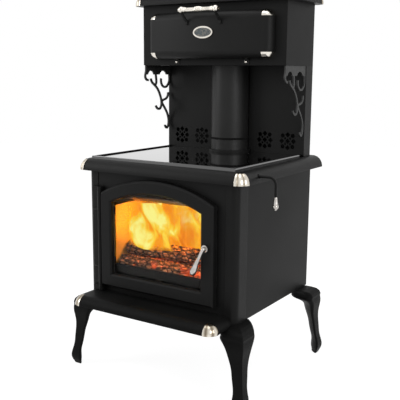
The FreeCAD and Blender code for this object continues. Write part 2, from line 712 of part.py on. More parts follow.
rim_blank = rim_block("rim_blank", "0")
rim_recess = box(
    "rim_recess",
    both(f"{POST_HALF} + seat_gap"),
    (f"{POST_FRONT} - seat_gap", f"{BACK} + seat_gap"),
    (f"{RIM_BOTTOM} - cut_past", CASE_TOP),
)
plate_seat = box(
    "plate_seat",
    both(f"{PLATE_HALF} + seat_gap"),
    (f"{PLATE_FRONT} - seat_gap", f"{PLATE_BACK} + seat_gap"),
    (PLATE_BOTTOM, f"{RIM_TOP} + cut_past"),
)
rim_opening = box(
    "rim_opening",
    both(f"{PLATE_HALF} - rim_ledge_side"),
    (f"{PLATE_FRONT} + rim_ledge_front", f"{PLATE_BACK} - rim_ledge_back"),
    (f"{CASE_TOP} - cut_past", f"{PLATE_BOTTOM} + cut_past"),
)
HOLLOW_X = (f"{POST_HALF} + seat_gap + rim_wall", f"{RIM_HALF} - rim_wall")
HOLLOW_Y = (f"{POST_FRONT} + post_return", f"{BACK}")
HOLLOW_Z = (f"{RIM_BOTTOM} - cut_past", f"{RIM_BOTTOM} + rim_hollow")
right_hollow = box("right_rim_hollow", HOLLOW_X, HOLLOW_Y, HOLLOW_Z)
left_hollow = box("left_rim_hollow", mirror_span(HOLLOW_X), HOLLOW_Y, HOLLOW_Z)
rim_rod_hole = round_bar("rim_rod_hole", "X", ROD_LINE, "rod_hole", HALF, f"{RIM_HALF} + cut_past")
rim = cut(
    "cooktop_rim",
    rim_blank,
    rim_recess,
    plate_seat,
    rim_opening,
    right_hollow,
    left_hollow,
    rim_rod_hole,
)
node("cooktop_rim", rim)

plate_loops = [
    rectangle(both(PLATE_HALF), (PLATE_FRONT, PLATE_BACK)),
    ("circle", "0", PIPE_Y, "flue_bore / 2 - plate_hole_lip"),
]
plate_slab = pad("plate_slab", "XY", plate_loops, PLATE_BOTTOM, PLATE_TOP)
BEAD_TOP = f"({PLATE_TOP} + bead_height)"
BEAD_BACK = f"({SPLASH_FRONT} - seat_gap)"
BEAD_INNER = f"({PLATE_HALF} - bead_width)"
bead_outline = [
    (minus(PLATE_HALF), PLATE_FRONT),
    (PLATE_HALF, PLATE_FRONT),
    (PLATE_HALF, BEAD_BACK),
    (BEAD_INNER, BEAD_BACK),
    (BEAD_INNER, f"{PLATE_FRONT} + bead_width"),
    (minus(BEAD_INNER), f"{PLATE_FRONT} + bead_width"),
    (minus(BEAD_INNER), BEAD_BACK),
    (minus(PLATE_HALF), BEAD_BACK),
]
plate_bead = pad("plate_bead", "XY", [bead_outline], PLATE_BOTTOM, BEAD_TOP)
dress(plate_bead, "Fillet", lambda edge: level_at(edge, 2, val(BEAD_TOP)), "bead_round")
node("cooktop_plate", fuse("cooktop_plate", plate_slab, plate_bead))
RIM_CAP_X = (f"{RIM_HALF} - rim_corner", f"{RIM_HALF} + rim_corner")
RIM_CAP_Y = (f"{RIM_FRONT} - rim_corner", f"{RIM_FRONT} + rim_corner")
RIM_CAP_Z = (RIM_BOTTOM, f"{RIM_TOP} + rim_height")
RIM_ZONES = [(x, RIM_CAP_Y, RIM_CAP_Z) for x in (RIM_CAP_X, mirror_span(RIM_CAP_X))]
node("rim_corner_caps", corner_caps("rim_corner_caps", rim_block, RIM_ZONES))

# Ash lip under the fire door, open below, with its own corner caps
LIP_Z = (LIP_BOTTOM, LIP_TOP)


def lip_block(name, grow):
    return pillow(name, both(LIP_HALF), (LIP_FRONT, LIP_BACK), LIP_Z, "lip_corner", "lip_round", grow, True)


node("ash_lip", cut("ash_lip", lip_block("lip_outside", "0"), lip_block("lip_underside", "-lip_wall")))
LIP_CAP_X = (f"{LIP_HALF} - lip_corner", f"{LIP_HALF} + lip_corner")
LIP_CAP_Y = (f"{LIP_FRONT} - lip_corner", f"{LIP_FRONT} + lip_corner")
LIP_CAP_Z = (LIP_BOTTOM, f"{LIP_TOP} + lip_height")
LIP_ZONES = [(x, LIP_CAP_Y, LIP_CAP_Z) for x in (LIP_CAP_X, mirror_span(LIP_CAP_X))]
node("lip_corner_caps", corner_caps("lip_corner_caps", lip_block, LIP_ZONES))

# Legs: cast cabriole corner legs with a sharp outer ridge and two wings along the casing
# Each station gives the height as a share of the leg, the outer reach, the wings' length and
# how far the inner corner fills the square between the wings
SHANK_STATIONS = [
    (0.89, "knee_reach", "knee_width", 1.0),
    (0.83, "knee_reach", "knee_width", 0.82),
    (0.75, "knee_reach", "(knee_width + shin_width) / 2", 0.64),
    (0.645, "shin_reach", "shin_width", 0.58),
    (0.5, "shin_reach", "calf_width", 0.58),
    (0.39, "(shin_reach + ankle_reach) / 2", "(calf_width + ankle_width) / 2", 0.58),
    (0.29, "ankle_reach", "ankle_width", 0.58),
    (0.19, "(ankle_reach + 2 * foot_reach) / 3", "(2 * ankle_width + foot_width) / 3", 0.58),
    (0.115, "foot_reach", "foot_width", 0.58),
    (0.055, "(2 * foot_reach + sole_reach) / 3", "(2 * foot_width + sole_width) / 3", 0.58),
    (0.0, "sole_reach", "sole_width", 0.58),
]
# The shoulder rounds into the knee in this many steps, from this fill of its inner corner
SHOULDER_STEPS = 4
SHOULDER_FILL = 0.55
# Rounding of the wing tips and of the inner corner, as shares of the wings' length
WING_TIP = 0.22
INNER_CORNER = 0.3
# The lofted faces meet within this distance, in millimetres
LOFT_TOLERANCE = 0.01


def rounded_wire(corners, rounds):
    """A closed outline through the corners, each rounded over its own tangent length."""
    edges = []
    count = len(corners)
    for k, corner in enumerate(corners):
        before = (corners[k - 1] - corner).normalize()
        after = (corners[(k + 1) % count] - corner).normalize()
        half_angle = before.getAngle(after) / 2
        inward = (before + after).normalize()
        middle = corner + inward * (rounds[k] * (1 - math.sin(half_angle)) / math.cos(half_angle))
        end = corner + after * rounds[k]
        edges.append(Part.Arc(corner + before * rounds[k], middle, end).toShape())
        follow = corners[(k + 1) % count] - after * rounds[(k + 1) % count]
        edges.append(Part.LineSegment(end, follow).toShape())
    return Part.Wire(edges)


def leg_section(height, reach, width, fill, tuck, back):
    """The outline of a right-hand leg at one height: ridge, wing tip, inner corner, wing tip."""
    sign = 1 if back else -1
    ridge = V(val(f"{HALF} + {reach}"), sign * (val(f"{BACK} + {reach}") - val(tuck)), height)
    wing = val(width)
    corners = [
        ridge,
        ridge - V(wing, 0, 0),
        ridge - V(fill * wing, sign * fill * wing, 0),
        ridge - V(0, sign * wing, 0),
    ]
    return rounded_wire(corners, [val("leg_edge"), WING_TIP * wing, INNER_CORNER * wing, WING_TIP * wing])


def shoulder_stations():
    """Stations from the casing down to the knee, along a quarter of an ellipse."""
    knee_height, reach, width, fill = SHANK_STATIONS[0]
    rows = []
    for k in range(SHOULDER_STEPS + 1):
        turn = math.radians(90 * k / SHOULDER_STEPS)
        out = math.sin(turn)
        rows.append((
            knee_height + (1 - knee_height) * math.cos(turn),
            f"shoulder_reach + ({reach} - shoulder_reach) * {out}",
            f"shoulder_width + ({width} - shoulder_width) * {out}",
            SHOULDER_FILL + (fill - SHOULDER_FILL) * out,
        ))
    return rows


def leg_loft(stations, tuck, back, ruled):
    height = val("leg_height")
    sections = [leg_section(height * share, *shape, tuck, back) for share, *shape in stations]
    return Part.makeLoft(sections, True, ruled)


def leg(name, tuck, back):
    """A right-hand leg with its bolt hole; front legs are trimmed clear of the ash lip."""
    shoulder = leg_loft(shoulder_stations(), tuck, back, True)
    casting = leg_loft(SHANK_STATIONS, tuck, back, False).fuse(shoulder, LOFT_TOLERANCE)
    bolt_y = val(REAR_BOLT_Y if back else FRONT_BOLT_Y)
    bolt_spot = V(val(BOLT_X), bolt_y, val("leg_height - bolt_depth - cut_past"))
    hole = Part.makeCylinder(val("bolt_radius + bolt_gap"), val("bolt_depth + 2 * cut_past"), bolt_spot)
    casting = casting.cut(hole, LOFT_TOLERANCE)
    if not back:
        gap = val("seat_gap")
        trim_spot = V(0, val(LIP_FRONT), val(LIP_BOTTOM) - gap)
        trim = Part.makeBox(val(LIP_HALF) + gap, val("lip_depth") + gap, val("lip_height"), trim_spot)
        casting = casting.cut(trim, LOFT_TOLERANCE)
    item = doc.addObject("Part::Feature", name)
    item.Shape = casting.Solids[0]
    return item


for end, tuck, back in (("front", "front_leg_tuck", False), ("rear", "rear_leg_tuck", True)):
    right_leg = node(f"leg_{end}_right", leg(f"leg_{end}_right", tuck, back))
    node(f"leg_{end}_left", mirrored(f"leg_{end}_left", right_leg))
bolts = []
for k, spot in enumerate(BOLTS):
    shank = round_bar(f"bolt_shank{k}", "Z", spot, "bolt_radius", "leg_height - bolt_depth", PAN_TOP)
    head = round_bar(f"bolt_head{k}", "Z", spot, "bolt_head", PAN_TOP, f"{PAN_TOP} + bolt_head_height")
    bolts.append(fuse(f"leg_bolt{k}", shank, head))
node("leg_bolts", group("leg_bolts", *bolts))

# Flue pipe up through the closet, its collar on the cooktop and its band
PIPE_LINE = ("0", PIPE_Y)
PIPE_END = f"({CROWN_TOP} + flue_stub)"
node("flue_pipe", pipe("flue_pipe", "Z", PIPE_LINE, PIPE_OUTER, "flue_bore / 2", PLATE_TOP, PIPE_END))
SLIP = f"({PIPE_OUTER} + slip_gap)"
COLLAR_OUTER = f"({SLIP} + collar_width)"
COLLAR_TOP = f"({PLATE_TOP} + collar_height)"
collar_ring = pipe("collar_ring", "Z", PIPE_LINE, COLLAR_OUTER, SLIP, PLATE_TOP, COLLAR_TOP)
collar_flat = box(
    "collar_flat",
    both(COLLAR_OUTER),
    (f"{CLOSET_BACK} - closet_sheet - seat_gap", f"{PIPE_Y} + {COLLAR_OUTER} + cut_past"),
    (f"{PLATE_TOP} - cut_past", f"{COLLAR_TOP} + cut_past"),
)
node("flue_collar", cut("flue_collar", collar_ring, collar_flat))
BAND_BOTTOM = f"({PLATE_TOP} + band_lift)"
node(
    "pipe_band",
    pipe(
        "pipe_band",
        "Z",
        PIPE_LINE,
        f"{SLIP} + band_width",
        SLIP,
        BAND_BOTTOM,
        f"{BAND_BOTTOM} + band_height",
    ),
)

# Backsplash: two bent sheets beside the pipe, with rosettes of air holes, and a back shield
SLOT_HALF = f"(sqrt(({PIPE_OUTER} + pipe_gap) ^ 2 - ({PIPE_Y} - {SPLASH_FRONT}) ^ 2) + closet_sheet)"
SPLASH_Y = (SPLASH_FRONT, f"{SPLASH_FRONT} + closet_sheet")
SPLASH_Z = (PLATE_TOP, CLOSET_BOTTOM)
NOTCH = (f"({COLLAR_OUTER} + seat_gap)", f"({COLLAR_TOP} + seat_gap)")
splash_outline = [
    (NOTCH[0], PLATE_TOP),
    (CLOSET_HALF, PLATE_TOP),
    (CLOSET_HALF, CLOSET_BOTTOM),
    (SLOT_HALF, CLOSET_BOTTOM),
    (SLOT_HALF, NOTCH[1]),
    (NOTCH[0], NOTCH[1]),
]
face_sheet = pad("splash_sheet", "XZ", [splash_outline], *SPLASH_Y)
ROSETTE_Z = f"({PLATE_TOP} + rosette_lift)"


def rosette_place(i, j, step):
    """Where a hole of the rosette sits, in steps across and up from its middle."""
    return f"(rosette_inner + {i} * {step})", f"({ROSETTE_Z} + {j} * {step})"


rosette = []
for i in (-1, 0, 1):
    for j in (-1, 0, 1):
        if i * j:
            corner = rosette_place(i, j, "rosette_corner_step")
            small = rosette_place(i, j, "rosette_small_step")
            rosette.append(("circle", *corner, "rosette_corner_hole"))
            rosette.append(("circle", *small, "rosette_small_hole"))
        else:
            rosette.append(diamond(*rosette_place(i, j, "rosette_diamond_step"), "rosette_diamond"))
doc.recompute()
rosette_sketch = new_sketch(face_sheet, "rosette_sketch", "XZ", SPLASH_FRONT, rosette)
rosette_pocket = face_sheet.newObject("PartDesign::Pocket", "rosette_pocket")
rosette_pocket.Profile = rosette_sketch
rosette_pocket.Type = "ThroughAll"
rosette_pocket.Midplane = True
rosette_pair = face_sheet.newObject("PartDesign::LinearPattern", "rosette_pair")
rosette_pair.Originals = [rosette_pocket]
rosette_pair.Direction = (rosette_sketch, ["H_Axis"])
bind(rosette_pair, "Length", "rosette_pitch")
rosette_pair.Occurrences = 2
face_sheet.Tip = rosette_pair
splash_return = box(
    "splash_return",
    (f"{CLOSET_HALF} - closet_sheet", CLOSET_HALF),
    (f"{SPLASH_FRONT} + closet_sheet", CLOSET_BACK),
    (RIM_TOP, CLOSET_BOTTOM),
)
right_splash = node("backsplash_right", fuse("backsplash_right", face_sheet, splash_return))
node("backsplash_left", mirrored("backsplash_left", right_splash))
SHIELD_HALF = f"({CLOSET_HALF} - closet_sheet)"
node(
    "back_shield",
    box("back_shield", both(SHIELD_HALF), (f"{CLOSET_BACK} - closet_sheet", CLOSET_BACK), SPLASH_Z),
)

# Warming closet: sheets round an open front, with the pipe through floor and roof, and a divider
CLOSET_Y = (f"{CLOSET_FRONT} + closet_sheet", f"{CLOSET_BACK} - closet_sheet")
CLOSET_Z = (CLOSET_BOTTOM, CLOSET_TOP)
CLOSET_INSIDE_Z = (f"{CLOSET_BOTTOM} + closet_sheet", f"{CLOSET_TOP} - closet_sheet")
PIPE_HOLE = f"({PIPE_OUTER} + pipe_gap)"
mouth = rectangle(
    both(f"{CLOSET_DOOR_HALF} - closet_door_lap"),
    (f"{CLOSET_DOOR_BOTTOM} + closet_door_lap", f"{CLOSET_DOOR_TOP} - closet_door_lap"),
)
level_sheet = [rectangle(both(SHIELD_HALF), CLOSET_Y), ("circle", "0", PIPE_Y, PIPE_HOLE)]
CLOSET_SIDE = (SHIELD_HALF, CLOSET_HALF)
closet_loops = [rectangle(both(CLOSET_HALF), CLOSET_Z), mouth]
closet_front = pad("closet_front", "XZ", closet_loops, CLOSET_FRONT, CLOSET_Y[0])


def at_mouth_corner(edge):
    return runs_along(edge, 1) and abs(edge.CenterOfMass.x) < val(CLOSET_DOOR_HALF)


dress(closet_front, "Fillet", at_mouth_corner, "closet_door_corner - closet_door_lap")
closet_sheets = [
    closet_front,
    box("closet_back", both(CLOSET_HALF), (CLOSET_Y[1], CLOSET_BACK), CLOSET_Z),
    box("closet_right", CLOSET_SIDE, CLOSET_Y, CLOSET_Z),
    box("closet_left", mirror_span(CLOSET_SIDE), CLOSET_Y, CLOSET_Z),
    pad("closet_floor", "XY", level_sheet, CLOSET_BOTTOM, CLOSET_INSIDE_Z[0]),
    pad("closet_roof", "XY", level_sheet, CLOSET_INSIDE_Z[1], CLOSET_TOP),
]
node("closet_shell", group("closet_shell", *closet_sheets))
DIVIDER_BACK = f"({PIPE_Y} - {PIPE_HOLE} - divider_gap)"
DIVIDER_Y = (f"{DIVIDER_BACK} - closet_sheet", DIVIDER_BACK)
node("closet_divider", box("closet_divider", both(SHIELD_HALF), DIVIDER_Y, CLOSET_INSIDE_Z))

# Crown: moulded top with a cap on each corner
CROWN_HALF = f"({CLOSET_HALF} + crown_overhang)"
CROWN_FRONT = f"({CLOSET_FRONT} - crown_overhang)"
CROWN_BACK = f"({CLOSET_BACK} + crown_overhang)"
CROWN_Z = (CLOSET_TOP, CROWN_TOP)


def crown_block(name, grow):
    y = (CROWN_FRONT, CROWN_BACK)
    return pillow(name, both(CROWN_HALF), y, CROWN_Z, "crown_corner", "crown_round", grow, False)


crown_hollow = box(
    "crown_underside",
    both(f"{CROWN_HALF} - crown_wall"),
    (f"{CROWN_FRONT} + crown_wall", f"{CROWN_BACK} - crown_wall"),
    (f"{CLOSET_TOP} - cut_past", f"{CROWN_TOP} - crown_top"),
)
CROWN_CUT_Z = (f"{CLOSET_TOP} - cut_past", f"{CROWN_TOP} + cut_past")
crown_pipe_hole = round_bar("crown_pipe_hole", "Z", PIPE_LINE, PIPE_HOLE, *CROWN_CUT_Z)
node("crown", cut("crown", crown_block("crown_blank", "0"), crown_hollow, crown_pipe_hole))
CROWN_CAP_X = (f"{CROWN_HALF} - crown_corner", f"{CROWN_HALF} + crown_corner")
CROWN_ZONES = [
    (x, (f"{end} - crown_corner", f"{end} + crown_corner"), (CLOSET_TOP, f"{CROWN_TOP} + crown_height"))
    for x in (CROWN_CAP_X, mirror_span(CROWN_CAP_X))
    for end in (CROWN_FRONT, CROWN_BACK)
]
node("crown_corner_caps", corner_caps("crown_corner_caps", crown_block, CROWN_ZONES))

# Scroll brackets: flat plates cut in scrolls, between the closet's floor and the backsplash
# Points are shares of the bracket's reach from its front and of its drop from its top
SCROLL_STROKES = [
    [(0.03, 0.06), (0.0, 0.13), (-0.01, 0.17), (0.04, 0.215), (0.11, 0.22)],
    [(0.42, 0.11), (0.425, 0.2), (0.42, 0.275), (0.36, 0.30)],
    [
        (0.21, 0.2), (0.235, 0.24), (0.36, 0.30), (0.48, 0.36), (0.57, 0.44), (0.63, 0.53),
        (0.64, 0.6), (0.61, 0.65), (0.54, 0.675), (0.46, 0.66), (0.41, 0.62),
    ],
    [
        (0.64, 0.56), (0.8, 0.68), (0.89, 0.76), (0.94, 0.85), (0.92, 0.95), (0.87, 0.985),
        (0.81, 0.965), (0.79, 0.935),
    ],
    [(0.64, 0.585), (0.7, 0.54), (0.82, 0.52), (0.9, 0.48), (0.915, 0.42)],
    [
        (0.96, 0.06), (0.965, 0.13), (0.975, 0.18), (0.965, 0.245), (0.89, 0.31), (0.79, 0.335),
        (0.68, 0.31), (0.63, 0.26), (0.63, 0.2),
    ],
]
# Each arch cut out of the top plate: its middle and its radius, as shares of the reach
SCROLL_ARCHES = [(0.205, 0.125), (0.695, 0.165)]
# Spans of the curve between two points of a stroke
STROKE_STEPS = 4


def ribbon(points, width, thickness):
    """A flat strip of even width along a smooth curve through the points."""
    curve = Part.BSplineCurve()
    curve.interpolate(points)
    steps = STROKE_STEPS * (len(points) - 1)
    left = []
    right = []
    for k in range(steps + 1):
        spot = curve.FirstParameter + (curve.LastParameter - curve.FirstParameter) * k / steps
        middle = curve.value(spot)
        run = curve.tangent(spot)[0]
        across = V(0, -run.z, run.y) * (width / 2)
        left.append(middle + across)
        right.append(middle - across)
    sides = []
    for row in (left, right[::-1]):
        side = Part.BSplineCurve()
        side.interpolate(row)
        sides.append(side.toShape())
    caps = [
        Part.LineSegment(left[-1], right[-1]).toShape(),
        Part.LineSegment(right[0], left[0]).toShape(),
    ]
    outline = Part.Wire([sides[0], caps[0], sides[1], caps[1]])
    return Part.Face(outline).extrude(V(thickness, 0, 0))


def scroll_bracket():
    reach = val("scroll_reach")
    drop = val("scroll_drop")
    thickness = val("scroll_thickness")
    front = val(f"{SPLASH_FRONT} - scroll_reach")
    top = val(CLOSET_BOTTOM)
    left = val(f"{CLOSET_HALF} - scroll_inset - scroll_thickness")
    plate_height = val("scroll_plate")
    shape = Part.makeBox(thickness, reach, plate_height, V(left, front, top - plate_height))
    for middle, radius in SCROLL_ARCHES:
        centre = V(left, front + middle * reach, top - val("scroll_web") - radius * reach)
        shape = shape.cut(Part.makeCylinder(radius * reach, thickness, centre, V(1, 0, 0)))
    for stroke in SCROLL_STROKES:
        points = [V(left, front + along_reach * reach, top - down * drop) for along_reach, down in stroke]
        shape = shape.fuse(ribbon(points, val("scroll_stroke"), thickness))
    limit = Part.makeBox(thickness, 2 * reach, 2 * drop, V(left, front - reach, top - 2 * drop))
    return shape.common(limit).removeSplitter()


right_scroll = doc.addObject("Part::Feature", "scroll_bracket_right")
right_scroll.Shape = scroll_bracket()
node("scroll_bracket_right", right_scroll)
node("scroll_bracket_left", mirrored("scroll_bracket_left", right_scroll))

# Fire door: bevelled arched frame with a hinge barrel, glass, tapes, clips and rope
frame_body = pad("door_casting", "XZ", [arch("0"), arch("door_border")], DOOR_FACE, DOOR_BACK)
WINDOW_HALF = val(f"{DOOR_HALF} - door_border")
WINDOW_BOTTOM = val(f"{DOOR_BOTTOM} + door_border")
WINDOW_CROWN = val(f"{ARCH_CENTRE} + {ARCH_RADIUS} - door_border")


# Slack in millimetres when edges are told apart by their place
SLACK = 0.1


def on_window(edge):
    """Whether a face edge belongs to the window and not to the outside of the frame."""
    limits = edge.BoundBox
    inside = limits.XMax < WINDOW_HALF + SLACK and limits.XMin > -WINDOW_HALF - SLACK
    return inside and limits.ZMin > WINDOW_BOTTOM - SLACK and limits.ZMax < WINDOW_CROWN + SLACK


def on_face(edge):
    return level_at(edge, 1, val(DOOR_FACE))


dress(frame_body, "Chamfer", lambda edge: on_face(edge) and not on_window(edge), "door_outer_bevel")
dress(frame_body, "Chamfer", lambda edge: on_face(edge) and on_window(edge), "door_inner_bevel")
HINGE_LINE = (HINGE_X, HINGE_Y)
BARREL_Z = (f"{LOW_HINGE_TOP} + moving_gap", f"{HIGH_HINGE_BOTTOM} - moving_gap")
barrel = round_bar("hinge_barrel", "Z", HINGE_LINE, "hinge_knuckle", *BARREL_Z)
web = box(
    "hinge_web",
    (HINGE_X, f"-{DOOR_HALF} + cut_past"),
    (f"{HINGE_Y} - hinge_web / 2", f"{HINGE_Y} + hinge_web / 2"),
    (f"{DOOR_BOTTOM} + hinge_web_margin", f"{DOOR_SPRING} - hinge_web_margin"),
)
frame_solid = fuse("door_solid", frame_body, barrel, web)
REBATE = "door_border - glass_lap"
glass_rebate = pad(
    "glass_rebate",
    "XZ",
    [arch(REBATE)],
    f"{DOOR_BACK} - glass_thickness - glass_tape",
    f"{DOOR_BACK} + cut_past",
)
PIN_HOLE = "hinge_pin + running_gap"
low_pin_hole = round_bar(
    "low_pin_hole",
    "Z",
    HINGE_LINE,
    PIN_HOLE,
    f"{LOW_HINGE_TOP} - cut_past",
    f"{LOW_HINGE_TOP} + hinge_grip + cut_past",
)
high_pin_hole = round_bar(
    "high_pin_hole",
    "Z",
    HINGE_LINE,
    PIN_HOLE,
    f"{HIGH_HINGE_BOTTOM} - hinge_grip - cut_past",
    f"{HIGH_HINGE_BOTTOM} + cut_past",
)
LATCH_X = f"({DOOR_HALF} - door_border / 2)"
LATCH_Z = f"({DOOR_BOTTOM} + latch_lift)"
LATCH_LINE = (LATCH_X, LATCH_Z)
spindle_hole = round_bar(
    "spindle_hole",
    "Y",
    LATCH_LINE,
    "spindle_radius + running_gap",
    f"{DOOR_FACE} - cut_past",
    f"{DOOR_BACK} + cut_past",
)
node("door_frame", cut("door_frame", frame_solid, glass_rebate, low_pin_hole, high_pin_hole, spindle_hole))
GLASS_EDGE = f"{REBATE} + glass_play"
GLASS_FRONT = f"({DOOR_BACK} - glass_thickness)"
node("door_glass", pad("door_glass", "XZ", [arch(GLASS_EDGE)], GLASS_FRONT, DOOR_BACK))
glass_tape = pad(
    "glass_tape_ring",
    "XZ",
    [arch(GLASS_EDGE), arch("door_border")],
    f"{GLASS_FRONT} - glass_tape",
    GLASS_FRONT,
)
door_rope = pad(
    "door_rope",
    "XZ",
    [arch("rope_inset"), arch("rope_inset + rope_width")],
    DOOR_BACK,
    f"{FRONT} - rope_gap",
)
node("door_gaskets", group("door_gaskets", glass_tape, door_rope))
CLIP_Y = (DOOR_BACK, f"{DOOR_BACK} + clip_thickness")
CLIP_EDGE = f"({DOOR_HALF} - door_border - glass_lap / 4)"
SIDE_CLIP = (CLIP_EDGE, f"{CLIP_EDGE} + clip_reach")
clip_spots = [
    (x, (f"{z} - clip_width / 2", f"{z} + clip_width / 2"))
    for x in (SIDE_CLIP, mirror_span(SIDE_CLIP))
    for z in (f"{DOOR_BOTTOM} + clip_low", f"{DOOR_BOTTOM} + clip_high")
]
CLIP_MIDDLE = both("clip_width / 2")
LOW_CLIP_TOP = f"({DOOR_BOTTOM} + door_border + glass_lap / 4)"
HIGH_CLIP_BOTTOM = f"({ARCH_CENTRE} + {ARCH_RADIUS} - door_border - glass_lap / 4)"
clip_spots.append((CLIP_MIDDLE, (f"{LOW_CLIP_TOP} - clip_reach", LOW_CLIP_TOP)))
clip_spots.append((CLIP_MIDDLE, (HIGH_CLIP_BOTTOM, f"{HIGH_CLIP_BOTTOM} + clip_reach")))
clips = [box(f"glass_clip{k}", x, CLIP_Y, z) for k, (x, z) in enumerate(clip_spots)]
node("glass_clips", group("glass_clips", *clips))

# Fire door hinges on the left post, with their pins, and the long cover between them
brackets = []
pins = []
for name, low in (("low", LOW_HINGE_BOTTOM), ("high", HIGH_HINGE_BOTTOM)):
    span = (low, f"{low} + hinge_height")
    arm = box(
        f"{name}_arm",
        (f"{HINGE_X} - hinge_arm", f"{HINGE_X} + hinge_knuckle"),
        (HINGE_Y, POST_FRONT),
        span,
    )
    knuckle = round_bar(f"{name}_knuckle", "Z", HINGE_LINE, "hinge_knuckle", *span)
    bored = round_bar(
        f"{name}_bore",
        "Z",
        HINGE_LINE,
        "hinge_pin",
        f"{low} - cut_past",
        f"{low} + hinge_height + cut_past",
    )
    brackets.append(cut(f"{name}_bracket", fuse(f"{name}_hinge_solid", arm, knuckle), bored))
pins.append(
    round_bar("low_pin", "Z", HINGE_LINE, "hinge_pin", LOW_HINGE_BOTTOM, f"{LOW_HINGE_TOP} + hinge_grip")
)
pins.append(
    round_bar(
        "high_pin",
        "Z",
        HINGE_LINE,
        "hinge_pin",
        f"{HIGH_HINGE_BOTTOM} - hinge_grip",
        f"{HIGH_HINGE_BOTTOM} + hinge_height",
    )
)
node("fire_door_hinges", group("fire_door_hinges", *brackets, *pins))
COVER_LEFT = f"(-{HALF} + cover_left)"
COVER_BOTTOM = f"({DOOR_BOTTOM} + cover_lift)"
COVER_X = (COVER_LEFT, f"{COVER_LEFT} + cover_width")
cover_loop = rectangle(COVER_X, (COVER_BOTTOM, f"{COVER_BOTTOM} + cover_height"))
cover = pad("hinge_cover", "XZ", [cover_loop], f"{POST_FRONT} - cover_thickness", POST_FRONT)
dress(
    cover,
    "Chamfer",
    lambda edge: level_at(edge, 1, val(f"{POST_FRONT} - cover_thickness")),
    "cover_bevel",
)
node("hinge_cover", cover)

# Fire door handle: spindle through the right stile, latch tongue inside, catch and spoon lever
CATCH_BACK = f"({PANEL_BACK} + catch_thickness)"
TONGUE_Y = (f"{CATCH_BACK} + moving_gap", f"{CATCH_BACK} + moving_gap + tongue_thickness")
spindle = round_bar(
    "latch_spindle",
    "Y",
    LATCH_LINE,
    "spindle_radius",
    f"{DOOR_FACE} - boss_height / 2",
    TONGUE_Y[0],
)
TONGUE_END = f"({LATCH_Z} - tongue_length)"
HUB_X = (f"{LATCH_X} - spindle_radius", f"{LATCH_X} + spindle_radius")
tongue_outline = [
    (f"{LATCH_X} - tongue_half", TONGUE_END, "tongue_half"),
    (LATCH_X, f"{TONGUE_END} - tongue_half", "tongue_half"),
    (f"{LATCH_X} + tongue_half", TONGUE_END),
    (HUB_X[1], LATCH_Z),
    (HUB_X[1], f"{LATCH_Z} + spindle_radius"),
    (HUB_X[0], f"{LATCH_Z} + spindle_radius"),
    (HUB_X[0], LATCH_Z),
]
tongue = pad("latch_tongue", "XZ", [tongue_outline], *TONGUE_Y)
node("latch_cam", fuse("latch_cam", spindle, tongue))
CATCH_X = (f"{DOOR_HALF} - mouth_lap + cut_past", f"{DOOR_HALF} - mouth_lap + cut_past + catch_width")
CATCH_BOTTOM = f"({LATCH_Z} - catch_drop)"
CATCH_Z = (CATCH_BOTTOM, f"{CATCH_BOTTOM} + catch_height")
node("latch_catch", box("latch_catch", CATCH_X, (PANEL_BACK, CATCH_BACK), CATCH_Z))


def tapered_bar(stations):
    """A round bar lofted through circles along a bent path of points and radii."""
    wires = []
    for k, (spot, radius) in enumerate(stations):
        before = stations[max(k - 1, 0)][0]
        after = stations[min(k + 1, len(stations) - 1)][0]
        wires.append(Part.Wire(Part.makeCircle(radius, spot, after - before)))
    return Part.makeLoft(wires, True, False)


# Stations along the lever: share of its length, share of its stand-off and share of the bulb's radius
LEVER_STATIONS = [
    (0.0, 1.0, 0.5),
    (0.2, 1.12, 0.47),
    (0.45, 1.16, 0.58),
    (0.7, 1.1, 0.85),
    (0.88, 1.0, 1.0),
    (1.0, 0.95, 0.55),
]


def handle_lever():
    lean = math.radians(val("lever_lean"))
    length = val("lever_length")
    start = V(val(LATCH_X), val(DOOR_FACE), val(LATCH_Z))
    stand_off = val("lever_stand_off")
    bulb = val("lever_bulb")
    down = V(-math.sin(lean), 0, -math.cos(lean))
    stations = [(start + V(0, -val("moving_gap") - val("boss_height") / 2, 0), val("lever_neck"))]
    for run, out, thick in LEVER_STATIONS:
        stations.append((start + down * (run * length) + V(0, -out * stand_off, 0), thick * bulb))
    return tapered_bar(stations)


boss = round_bar(
    "handle_boss",
    "Y",
    LATCH_LINE,
    "boss_radius",
    f"{DOOR_FACE} - moving_gap - boss_height",
    f"{DOOR_FACE} - moving_gap",
)
boss_seat = round_bar(
    "boss_seat",
    "Y",
    LATCH_LINE,
    "spindle_radius",
    f"{DOOR_FACE} - boss_height / 2",
    f"{DOOR_FACE} + cut_past",
)
lever = doc.addObject("Part::Feature", "handle_lever")
lever.Shape = handle_lever()
node("door_handle", cut("door_handle", fuse("handle_solid", boss, lever), boss_seat))

# Warming closet door: rounded pan, liner, nickel corner caps, handle bar, badge and hinges
CLOSET_DOOR_Z = (CLOSET_DOOR_BOTTOM, CLOSET_DOOR_TOP)
BOW_RADIUS = f"(({CLOSET_DOOR_HALF} ^ 2 + closet_door_bow ^ 2) / (2 * closet_door_bow))"
BOW_CENTRE = f"({CLOSET_DOOR_FACE} + {BOW_RADIUS})"


